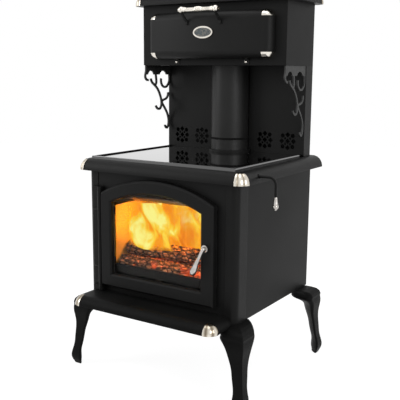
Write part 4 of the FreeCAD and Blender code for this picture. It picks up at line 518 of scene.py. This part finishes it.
def piece(name, shape, material, body):
    """Puts points and quads into a smooth mesh object that rides on a CAD body."""
    points, quads = shape
    mesh = bpy.data.meshes.new(name)
    mesh.vertices.add(len(points))
    mesh.vertices.foreach_set("co", points.astype(np.float32).ravel())
    mesh.loops.add(quads.size)
    mesh.loops.foreach_set("vertex_index", quads.astype(np.int32).ravel())
    mesh.polygons.add(len(quads))
    mesh.polygons.foreach_set("loop_start", np.arange(0, quads.size, 4, dtype=np.int32))
    mesh.update(calc_edges=True)
    mesh.validate()
    work = bmesh.new()
    work.from_mesh(mesh)
    bmesh.ops.remove_doubles(work, verts=work.verts, dist=MERGE_DISTANCE)
    bmesh.ops.recalc_face_normals(work, faces=work.faces)
    work.to_mesh(mesh)
    work.free()
    mesh.polygons.foreach_set("use_smooth", np.ones(len(mesh.polygons), dtype=bool))
    mesh.materials.append(material)
    made = bpy.data.objects.new(name, mesh)
    scene.collection.objects.link(made)
    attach(made, body)
    print(name, len(mesh.polygons), "faces on", body)
    return made


# %% [markdown]
# ## Fluted corner caps
# Cast nickel caps cover the rounded corners of the cooking rim, the ash lip and the crown. Each
# is a corner of a rounded block: an arc turned a quarter round an axis. Flutes cut by booleans
# would leave a rough mesh, so they are part of the formula: lobes that run up the arc and narrow
# with it. The smooth caps of the bowed closet door already have the right shape in the frame, so
# they stay.

# %% Fluted corner caps
FLUTES, STEPS_PER_FLUTE = 5, 20
FLUTE_DEPTH, LOBE_ROUND, LOBE_TAPER = 0.0024, 0.7, 0.6
CAP_WALL, CAP_LIFT = 0.0008, 0.0001
STRAIGHT_STEPS, ARC_STEPS = 4, 22


def corner_cap(centre, signs, corner, edge_round, length, depth=FLUTE_DEPTH, groove_soot=1.0,
               margin=0.0, top=QUARTER):
    """A quarter of a turned profile, less a margin at both ends. The profile goes straight up for
    the length less the round, then round an arc as far as the angle top. At angle a it grows along
    its own normal by the wall and by depth * |sin(flutes * a)| ** LOBE_ROUND
    * (radius / corner) ** LOBE_TAPER. That lobe to the power groove_soot is the flute_shade value,
    which paints shade into the grooves; a groove_soot over 1 widens the painted shade."""
    share = np.linspace(0, QUARTER, STEPS_PER_FLUTE * FLUTES + 1)[:, None]
    turn_at = margin + share * (1 - 2 * margin / QUARTER)
    straight = np.linspace(0, length - edge_round, STRAIGHT_STEPS, endpoint=False)
    arc = np.linspace(0, top, ARC_STEPS)
    along = np.concatenate([straight, length - edge_round + edge_round * np.sin(arc)])[None, :]
    dome = corner - edge_round + edge_round * np.cos(arc)
    radius = np.concatenate([np.full(STRAIGHT_STEPS, corner), dome])[None, :]
    out = np.concatenate([np.ones(STRAIGHT_STEPS), np.cos(arc)])[None, :]
    rise = np.concatenate([np.zeros(STRAIGHT_STEPS), np.sin(arc)])[None, :]
    lobe = np.abs(np.sin(FLUTES * share)) ** LOBE_ROUND * (radius / corner) ** LOBE_TAPER

    def layer(offset):
        """Points of the profile pushed out along its own normal, turned and put at the corner."""
        reach = (radius + offset * out) * np.ones_like(turn_at)
        height = (along + offset * rise) * np.ones_like(turn_at)
        across = reach * np.cos(turn_at) * signs[0]
        deep = reach * np.sin(turn_at) * signs[1]
        return np.stack([across, deep, height], axis=-1) + np.asarray(centre)

    outer, inner = layer(CAP_WALL + depth * lobe), layer(CAP_LIFT)
    flute_shade = np.concatenate([lobe ** groove_soot * np.ones_like(along), 0 * lobe * along], axis=1)
    return *plate_between(outer, inner), flute_shade.ravel()


def block_caps(node, corner, edge_round, ends=(-1,), **look):
    """Caps on the left and right corners of a node's box, at its front end -1 or its back end 1."""
    low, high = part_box(node)
    deep = {-1: low.y + corner, 1: high.y - corner}
    return [
        corner_cap((side * (high.x - corner), deep[end], low.z), (side, end), corner, edge_round,
                   high.z - low.z, **look)
        for side in (-1, 1)
        for end in ends
    ]


CAPS = {
    "rim_corner_caps": block_caps(
        "cooktop_rim", corner=0.046, edge_round=0.042, margin=math.radians(9), top=math.radians(60)),
    # The lip's flutes are shallow, so wider painted shade in their grooves stands in for their depth.
    "lip_corner_caps": block_caps(
        "ash_lip", corner=0.040, edge_round=0.033, depth=0.0008, groove_soot=2.6),
    "crown_corner_caps": block_caps("crown", corner=0.042, edge_round=0.040, ends=(-1, 1)),
}
for node, caps in CAPS.items():
    cap_piece = piece("fluted_" + node, joined(*(cap[:2] for cap in caps)), cap_nickel, "stove")
    flute_at = cap_piece.data.attributes.new("flute_shade", "FLOAT", "POINT")
    flute_at.data.foreach_set("value", np.concatenate([cap[2] for cap in caps]).astype(np.float32))
    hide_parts(node)

# %% [markdown]
# ## Turned handle bar
# The closet door's handle is a turned nickel bar with ball ends that sit in the straps, two
# collars inside each ball, and a twisted bead in the middle. The Screw modifier could turn the
# bar but not the twist. A lathe shape is a radius along a line, so here the radius is worked out
# on the grid, and the twist adds a wave to it that winds round as it goes along.

# %% Turned handle bar
BAR_ROWS, BAR_COLUMNS = 361, 48
BAR_RADIUS = 0.0074
BALL_RADIUS, BALL_AT = 0.012, 0.076
BEAD_HALF, BEAD_SWELL = 0.017, 0.0040
TWIST_DEPTH, TWIST_STARTS, TWISTS = 0.0013, 3, 2.5
# Each collar: its place from the middle, its radius and its half width.
COLLARS = ((0.0625, 0.0098, 0.0030), (0.056, 0.0088, 0.0020))


def turned_bar(centre):
    """Radius along x: the bar, half-round collars sqrt(1 - ((x - a) / w)^2), end balls, and a
    middle bead cos(pi x / 2 w) whose surface waves by cos(starts * turn + winding x)."""
    end = BALL_AT + BALL_RADIUS
    x = end * np.sin(np.linspace(-QUARTER, QUARTER, BAR_ROWS))
    angle = turns(BAR_COLUMNS)
    radius = np.where(np.abs(x) < BALL_AT, BAR_RADIUS, 0.0)
    ball = np.sqrt(np.clip(BALL_RADIUS ** 2 - (np.abs(x) - BALL_AT) ** 2, 0, None))
    radius = np.maximum(radius, ball)
    for place, size, half in COLLARS:
        ridge = np.sqrt(np.clip(1 - ((np.abs(x) - place) / half) ** 2, 0, None))
        radius = np.maximum(radius, BAR_RADIUS + (size - BAR_RADIUS) * ridge)
    bead = np.where(np.abs(x) < BEAD_HALF, np.cos(np.pi * x / (2 * BEAD_HALF)), 0)[:, None]
    wave = np.cos(TWIST_STARTS * angle + TWISTS * FULL_TURN * x[:, None] / BEAD_HALF)
    reach = radius[:, None] + np.sqrt(bead) * (BEAD_SWELL / 2 + TWIST_DEPTH * wave)
    line = np.broadcast_to(x[:, None], reach.shape)
    return np.stack([line, reach * np.cos(angle), reach * np.sin(angle)], axis=-1) + np.asarray(centre)


bar_low, bar_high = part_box("closet_handle_bar")
bar_shape = tube(turned_bar((bar_low + bar_high) / 2))
handle_bar = piece("turned_handle_bar", bar_shape, bright_nickel, "closet_door")
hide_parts("closet_handle_bar")

# %% [markdown]
# ## Log and ember finishes
# A burning log chars into blocks: cracks between cells are black, and the bark on the blocks goes
# from dark brown to pale ash, both warmed towards orange as painted firelight. It glows red on its
# underside, most towards its right end. Embers are grey lumps that glow from red to orange where a
# slow noise makes them hot. The glow could come from lamps, but as emission it follows the bark
# and the lumps.

# %% Log and ember finishes
CHAR, GLOW = (0.008, 0.006, 0.005, 1), (0.95, 0.10, 0.015, 1)
COOL_END, HOT_END = -0.18, 0.14
GLOW_TOP, GLOW_FULL = 0.462, 0.440
BLOCK_HEIGHT = 0.6


def charred_wood(tree):
    """Bark in charred blocks, warmed as painted firelight, with a red glow low down."""
    place = object_place(tree)
    cracks = add_node(
        tree, "ShaderNodeTexVoronoi", {"feature": "DISTANCE_TO_EDGE"},
        Vector=object_place(tree, (0.6, 1, 1)), Scale=64.0, Randomness=0.8,
    ).outputs["Distance"]
    grain_place = object_place(tree, (0.25, 1, 1))
    bark = noise(tree, grain_place, scale=60, detail=6, roughness=0.7, distortion=0.6)
    # The browns and the ash are pushed towards orange: painted firelight on the bark.
    firelit_bark = ramp(
        tree, bark, (0.34, (0.020, 0.009, 0.005)), (0.47, (0.20, 0.08, 0.035)),
        (0.58, (0.58, 0.26, 0.12)), (0.70, (0.80, 0.52, 0.34)))
    burnt = ramp(tree, cracks, (0.03, 0.0), (0.20, 1.0))
    along = add_node(tree, "ShaderNodeSeparateXYZ", Vector=place).outputs
    hot_end = spread(tree, along["X"], low=0.82, high=1.02, start=COOL_END, stop=HOT_END)
    low_side = spread(tree, along["Z"], low=0.0, high=1.0, start=GLOW_TOP, stop=GLOW_FULL)
    burning = times(tree, noise(tree, place, scale=26, detail=3), hot_end)
    heat = times(tree, ramp(tree, burning, (0.50, 0.0), (0.60, 1.0)), low_side)
    heat = times(tree, heat, ramp(tree, bark, (0.3, 0.15), (0.6, 1.0)))
    height = plus(tree, bark, times(tree, burnt, BLOCK_HEIGHT))
    return {
        "Base_Color": mix_colour(tree, burnt, CHAR, firelit_bark),
        "Roughness": spread(tree, bark, low=0.8, high=1.0),
        "Emission_Color": mix_colour(tree, heat, (0, 0, 0, 1), GLOW),
        "Normal": bump(tree, height, depth=0.006),
    }


def ember_recipe(tree):
    """Lumps of ash that glow in patches."""
    place = object_place(tree)
    lumps = add_node(tree, "ShaderNodeTexVoronoi", Vector=place, Scale=70.0).outputs["Distance"]
    hot = times(tree, noise(tree, place, scale=25, detail=3), lumps)
    return {
        "Base_Color": ramp(tree, lumps, (0.1, (0.02, 0.017, 0.015)), (0.6, (0.20, 0.18, 0.16))),
        "Roughness": spread(tree, lumps, low=0.85, high=1.0),
        "Emission_Color": ramp(
            tree, hot, (0.12, (0, 0, 0)), (0.26, (0.8, 0.07, 0.01)), (0.45, (1.0, 0.42, 0.06))),
        "Normal": bump(tree, lumps, depth=0.006),
    }


log_finish = finish_material("charred_wood", charred_wood, Emission_Strength=1.0)
ember_finish = finish_material("embers", ember_recipe, Emission_Strength=1.0)
print("fuel finishes", log_finish.name, ember_finish.name)

# %% [markdown]
# ## Logs and embers
# Split logs burn behind the log retainer. They could be sculpted, but seeded waves give the same
# logs on every run. A log is a tube whose radius is a round bark side cut off by flat split faces,
# made uneven by a few of those waves and crossed by char cracks. The ember bed is a heap whose
# height is a sum of waves over the firebox floor.

# %% Logs
LOG_ROWS, END_ROWS, LOG_COLUMNS = 170, 9, 96
END_OPENING, RAGGED_END = 0.96, 0.004
BARK_WAVE, BARK_RIDGE, FACE_LIMIT = 0.10, 0.015, 0.2
CROSS_CRACK, LONG_CRACK, CRACK_POWER = 0.09, 0.07, 12


def wavy(first, second, seed, count, reach):
    """A sum of seeded sines, each h * sin(k * first + f * second + p), with a whole number k."""
    draw = np.random.default_rng(seed)
    waves = [
        (draw.uniform(0.3, 1.0) / count, draw.integers(1, reach), draw.uniform(2, 14), draw.uniform(0, 6.3))
        for _ in range(count)
    ]
    return sum(h * np.sin(k * first + f * second + p) for h, k, f, p in waves)


def split_log(start, end, radius, seed, faces):
    """Radius at share u and turn a: the least of the bark radius and, for each flat split face
    at turn b and depth d, d / cos(a - b). Waves roughen it, cracks |sin| ** CRACK_POWER cut
    across and along it, and both ends close in to a point."""
    start, end = np.asarray(start), np.asarray(end)
    line = (end - start) / np.linalg.norm(end - start)
    side = np.cross(line, (0, 0, 1))
    side /= np.linalg.norm(side)
    top = np.cross(side, line)
    u = np.concatenate([np.zeros(END_ROWS), np.linspace(0, 1, LOG_ROWS), np.ones(END_ROWS)])[:, None]
    opening = np.linspace(0, END_OPENING, END_ROWS)
    close = np.concatenate([opening, np.ones(LOG_ROWS), opening[::-1]])[:, None]
    a = turns(LOG_COLUMNS)
    bark = radius * (1 + BARK_WAVE * wavy(a, u, seed, count=9, reach=12))
    for face, depth in faces:
        slope = np.cos(a - face)
        flat = depth * radius / np.maximum(slope, FACE_LIMIT)
        bark = np.minimum(bark, np.where(slope > FACE_LIMIT, flat, bark))
    across = np.abs(np.sin(58 * u + 1.5 * np.sin(3 * a + seed) + 0.6 * np.sin(7 * a)))
    lengthwise = np.abs(np.sin(9 * a + 1.2 * np.sin(17 * u + seed)))
    cut = 1 - CROSS_CRACK * across ** CRACK_POWER - LONG_CRACK * lengthwise ** CRACK_POWER
    ridges = 1 + BARK_RIDGE * np.sin(19 * a + 7 * np.sin(9 * u))
    bark = bark * cut * ridges * close
    middle = start + (end - start) * u[..., None]
    ragged = RAGGED_END * np.sin(5 * a + seed) * (1 - close) * np.where(u > 0.5, 1, -1)
    outwards = np.cos(a)[..., None] * side + np.sin(a)[..., None] * top
    return middle + bark[..., None] * outwards + ragged[..., None] * line


# Each log: its two ends, its radius, its seed and its split faces as (turn, depth).
LOGS = (
    ((-0.208, -0.236, 0.427), (0.204, -0.234, 0.425), 0.036, 3, ((1.9, 0.80), (4.6, 0.85))),
    ((-0.200, -0.158, 0.430), (0.208, -0.150, 0.432), 0.040, 5, ((1.2, 0.80),)),
    ((-0.206, -0.198, 0.476), (0.150, -0.186, 0.480), 0.034, 8, ((2.2, 0.74), (5.2, 0.8))),
    ((-0.150, -0.070, 0.436), (0.165, -0.085, 0.434), 0.044, 11, ((1.5, 0.8),)),
)
piece("split_logs", joined(*(tube(split_log(*log)) for log in LOGS)), log_finish, "stove")

# %% Ember bed
EMBER_ROWS, EMBER_COLUMNS, EMBER_SEED = 90, 120, 21
EMBER_HALF_WIDTH, EMBER_HALF_DEPTH, EMBER_MIDDLE = 0.214, 0.182, -0.085
EMBER_LIFT, EMBER_EDGE, EMBER_HEIGHT, EMBER_WAVE = 0.0004, 0.003, 0.034, 0.010


def ember_heap():
    """Height over the floor at (x, y): a flat heap (1 - x^8)(1 - y^8) plus seeded waves."""
    x = np.linspace(-1, 1, EMBER_COLUMNS)[None, :]
    y = np.linspace(-1, 1, EMBER_ROWS)[:, None]
    rough = wavy(3 * x, 2 * y, EMBER_SEED, count=12, reach=9)
    dome = (1 - x ** 8) * (1 - y ** 8)
    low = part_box("floor_bricks")[1].z + EMBER_LIFT
    top = low + EMBER_EDGE + dome * (EMBER_HEIGHT + EMBER_WAVE * rough)
    wide = EMBER_HALF_WIDTH * x * np.ones_like(y)
    deep = EMBER_MIDDLE + EMBER_HALF_DEPTH * y * np.ones_like(x)
    return plate_between(np.stack([wide, deep, top], -1), np.stack([wide, deep, np.full_like(top, low)], -1))


piece("ember_bed", ember_heap(), ember_finish, "stove")

# %% [markdown]
# ## Flames
# A gas simulation would give real flames, but slowly, and not as a mesh. A flame is a thin sheet
# of glowing gas, so it is built as curved sheets that stand on the logs and sway. The colour comes
# from a billowing noise stretched upwards, and the ragged outline from the same noise set against
# a hill that is full in the middle and falls off at the sides and top. The fire is older on the
# right, so the flames there are lower and more orange.

# %% Flame finish
ORANGE, AMBER = (0.86, 0.17, 0.006), (1.0, 0.36, 0.012)
YELLOW, PALE = (1.0, 0.66, 0.045), (1.0, 0.93, 0.26)
BILLOW_SHARE, STRAND_SHARE, HILL_SHARE = 0.82, 0.18, 0.5
RAGGED_HEAT, HILL_HEAT, HEAT_LOST = 1.15, 0.12, 0.15
DYING_FROM, DYING_TO = -0.03, 0.10


def flame_recipe(tree):
    """Colour by heat, and alpha by the noise and the hill of the sheet's own UV map."""
    billows = noise(
        tree, object_place(tree, (1, 1, 0.55)), scale=11, detail=4, roughness=0.55, distortion=0.9)
    strands = noise(tree, object_place(tree, (1, 1, 0.3)), scale=34, detail=3, distortion=0.6)
    uv = add_node(tree, "ShaderNodeTexCoord").outputs["UV"]
    share = add_node(tree, "ShaderNodeSeparateXYZ", Vector=uv).outputs
    side = times(tree, share["X"], minus(tree, 1.0, share["X"]))
    middle = ramp(tree, side, (0.0, 0.0), (0.10, 0.75), (0.22, 1.0))
    rise = ramp(tree, share["Y"], (0.0, 0.55), (0.12, 1.0), (0.60, 0.95), (1.0, 0.60))
    across = add_node(tree, "ShaderNodeSeparateXYZ", Vector=object_place(tree)).outputs["X"]
    dying = spread(tree, across, low=0.0, high=1.0, start=DYING_FROM, stop=DYING_TO)
    hill = times(tree, times(tree, middle, rise), spread(tree, dying, low=1.1, high=0.80))
    ragged = plus(tree, times(tree, billows, BILLOW_SHARE), times(tree, strands, STRAND_SHARE))
    body = plus(tree, ragged, times(tree, hill, HILL_SHARE))
    heat = plus(tree, times(tree, ragged, RAGGED_HEAT), times(tree, hill, HILL_HEAT))
    heat = minus(tree, heat, times(tree, dying, HEAT_LOST))
    return {
        "Emission_Color": ramp(tree, heat, (0.47, ORANGE), (0.60, AMBER), (0.70, YELLOW), (0.79, PALE)),
        "Alpha": ramp(tree, body, (0.62, 0.0), (0.90, 1.0)),
    }


flame_finish = finish_material(
    "flame", flame_recipe, Base_Color=(0, 0, 0, 1), Roughness=1.0, Specular_IOR_Level=0.0,
    Emission_Strength=1.0)
print("flame finish", flame_finish.name)

# %% Flames
FLAME_ROWS, FLAME_COLUMNS = 48, 40
FLAME_TAPER, FLAME_LEAN, FLAME_RIPPLE = 0.35, 0.02, 0.012
# Each sheet: its middle in x and y, its width, its low and high z, its sway and its phase.
FLAMES = (
    ((-0.088, -0.238), 0.25, (0.496, 0.672), 0.010, 0.3),
    ((-0.030, -0.165), 0.36, (0.470, 0.660), 0.020, 1.7),
    ((-0.045, -0.108), 0.33, (0.440, 0.684), 0.022, 2.9),
    ((-0.035, -0.020), 0.34, (0.430, 0.684), 0.020, 4.1),
)


def flame_sheet(middle, width, span, sway, phase):
    """A sheet over share s across and t up: x = middle + width * (s - 1/2) * (1 - taper * t) and
    leans by t * sin(5 t + phase); y bows by sway * sin(pi s) and ripples by
    sin(9 s + 7 t + phase)."""
    s = np.linspace(0, 1, FLAME_COLUMNS)[None, :]
    t = np.linspace(0, 1, FLAME_ROWS)[:, None]
    lean = FLAME_LEAN * t * np.sin(5 * t + phase)
    ripple = FLAME_RIPPLE * np.sin(9 * s + 7 * t + phase)
    x = middle[0] + width * (s - 0.5) * (1 - FLAME_TAPER * t) + lean
    y = middle[1] - sway * np.sin(math.pi * s) * (1 - 0.5 * t) + ripple
    z = span[0] + (span[1] - span[0]) * t + 0 * s
    return np.stack([x, y, z], axis=-1)


def sheet_piece(name, grids, material):
    """One object of several sheets, with s and t of each kept as its UV map."""
    shapes = [(grid.reshape(-1, 3), grid_quads(*grid.shape[:2])) for grid in grids]
    made = piece(name, joined(*shapes), material, "stove")
    rows, columns = grids[0].shape[:2]
    s, t = np.meshgrid(np.linspace(0, 1, columns), np.linspace(0, 1, rows))
    shares = np.tile(np.stack([s, t], axis=-1).reshape(-1, 2), (len(grids), 1))
    corner = np.empty(len(made.data.loops), dtype=np.int32)
    made.data.loops.foreach_get("vertex_index", corner)
    layer = made.data.uv_layers.new(name="shares")
    layer.data.foreach_set("uv", shares[corner].astype(np.float32).ravel())


sheet_piece("flames", [flame_sheet(*flame) for flame in FLAMES], flame_finish)

# %% [markdown]
# ## Studio
# The stove stands on a plain pale floor in soft light. Lamps that are strong enough to turn the
# floor white would wash out the blacks. So the floor and the world are white only to the camera
# and to reflections, where the gloss shows a white room, and they stay dimmer as a light.

# %% Floor and world
FLOOR_RINGS, FLOOR_SPOKES = 12, 64
FLOOR_RADIUS, FLOOR_DROP = 9.0, 0.0005
FLOOR_COLOUR, FLOOR_LIFT = (0.28, 0.28, 0.28, 1), 0.92
AMBIENT = 0.38


def floor_disc():
    """A disc: radius r and turn a, just under floor level."""
    r = np.linspace(0, FLOOR_RADIUS, FLOOR_RINGS)[:, None]
    a = turns(FLOOR_SPOKES)
    return np.stack([r * np.cos(a), r * np.sin(a), 0 * r * a - FLOOR_DROP], axis=-1)


def shown_white(tree):
    """1 for rays that show a surface: the camera's own, reflections and looks through glass."""
    path = add_node(tree, "ShaderNodeLightPath").outputs
    through = math_node(tree, "MAXIMUM", path["Is Glossy Ray"], path["Is Transmission Ray"])
    return math_node(tree, "MAXIMUM", path["Is Camera Ray"], through)


def floor_recipe(tree):
    """A lift of the floor towards white, where it is shown."""
    return {"Emission_Strength": times(tree, shown_white(tree), FLOOR_LIFT)}


floor_finish = finish_material(
    "floor", floor_recipe, Base_Color=FLOOR_COLOUR, Emission_Color=(1, 1, 1, 1), Roughness=0.9,
    Specular_IOR_Level=0.0)
floor = piece("floor", tube(floor_disc()), floor_finish, "stove")
floor.parent = None

world = bpy.data.worlds.new("studio")
scene.world = world
world.use_nodes = True
sky = world.node_tree
background = sky.nodes["Background"]
background.inputs["Color"].default_value = (1, 1, 1, 1)
sky.links.new(spread(sky, shown_white(sky), AMBIENT, 1.0), background.inputs["Strength"])
print("floor radius", FLOOR_RADIUS, "ambient light", AMBIENT)

# %% [markdown]
# ## Lamps
# Broad lamps at both sides draw the long highlights down the posts and the pipe, and one above
# fills the plate. Sheets of flame give little light of their own, so four small warm lamps stand
# in the firebox. They light the bricks and the logs, and are not seen themselves.

# %% Lamps
# Each soft lamp: its name, its place, what it faces, its width and height, and its power.
SOFT_LAMPS = (
    ("key_lamp", (3.1, -1.4, 1.8), (0.2, 0, 1.0), (1.4, 1.6), 32),
    ("left_lamp", (-2.8, -2.2, 2.2), (0, -0.1, 0.8), (1.2, 2.4), 38),
    ("top_lamp", (0, -0.4, 3.6), (0, 0, 0.8), (2.4, 2.0), 22),
)
# Each fire lamp: its place and its power.
FIRE_LAMPS = (
    ((-0.12, -0.20, 0.60), 1.9),
    ((0.05, -0.19, 0.58), 1.9),
    ((0.0, 0.05, 0.57), 1.9),
    ((0.02, -0.270, 0.57), 1.5),
)
FIRE_COLOUR, FIRE_SOFTNESS = (1.0, 0.36, 0.02), 0.02

for name, place, target, size, power in SOFT_LAMPS:
    light = bpy.data.lights.new(name, "AREA")
    light.shape = "RECTANGLE"
    light.size, light.size_y = size
    light.energy = power
    lamp = bpy.data.objects.new(name, light)
    lamp.location = place
    lamp.rotation_mode = "QUATERNION"
    lamp.rotation_quaternion = (Vector(target) - Vector(place)).to_track_quat("-Z", "Y")
    scene.collection.objects.link(lamp)
for count, (place, power) in enumerate(FIRE_LAMPS):
    light = bpy.data.lights.new(f"fire_lamp_{count}", "POINT")
    light.energy = power
    light.color = FIRE_COLOUR
    light.shadow_soft_size = FIRE_SOFTNESS
    lamp = bpy.data.objects.new(light.name, light)
    lamp.location = place
    lamp.visible_camera = lamp.visible_transmission = lamp.visible_glossy = False
    scene.collection.objects.link(lamp)
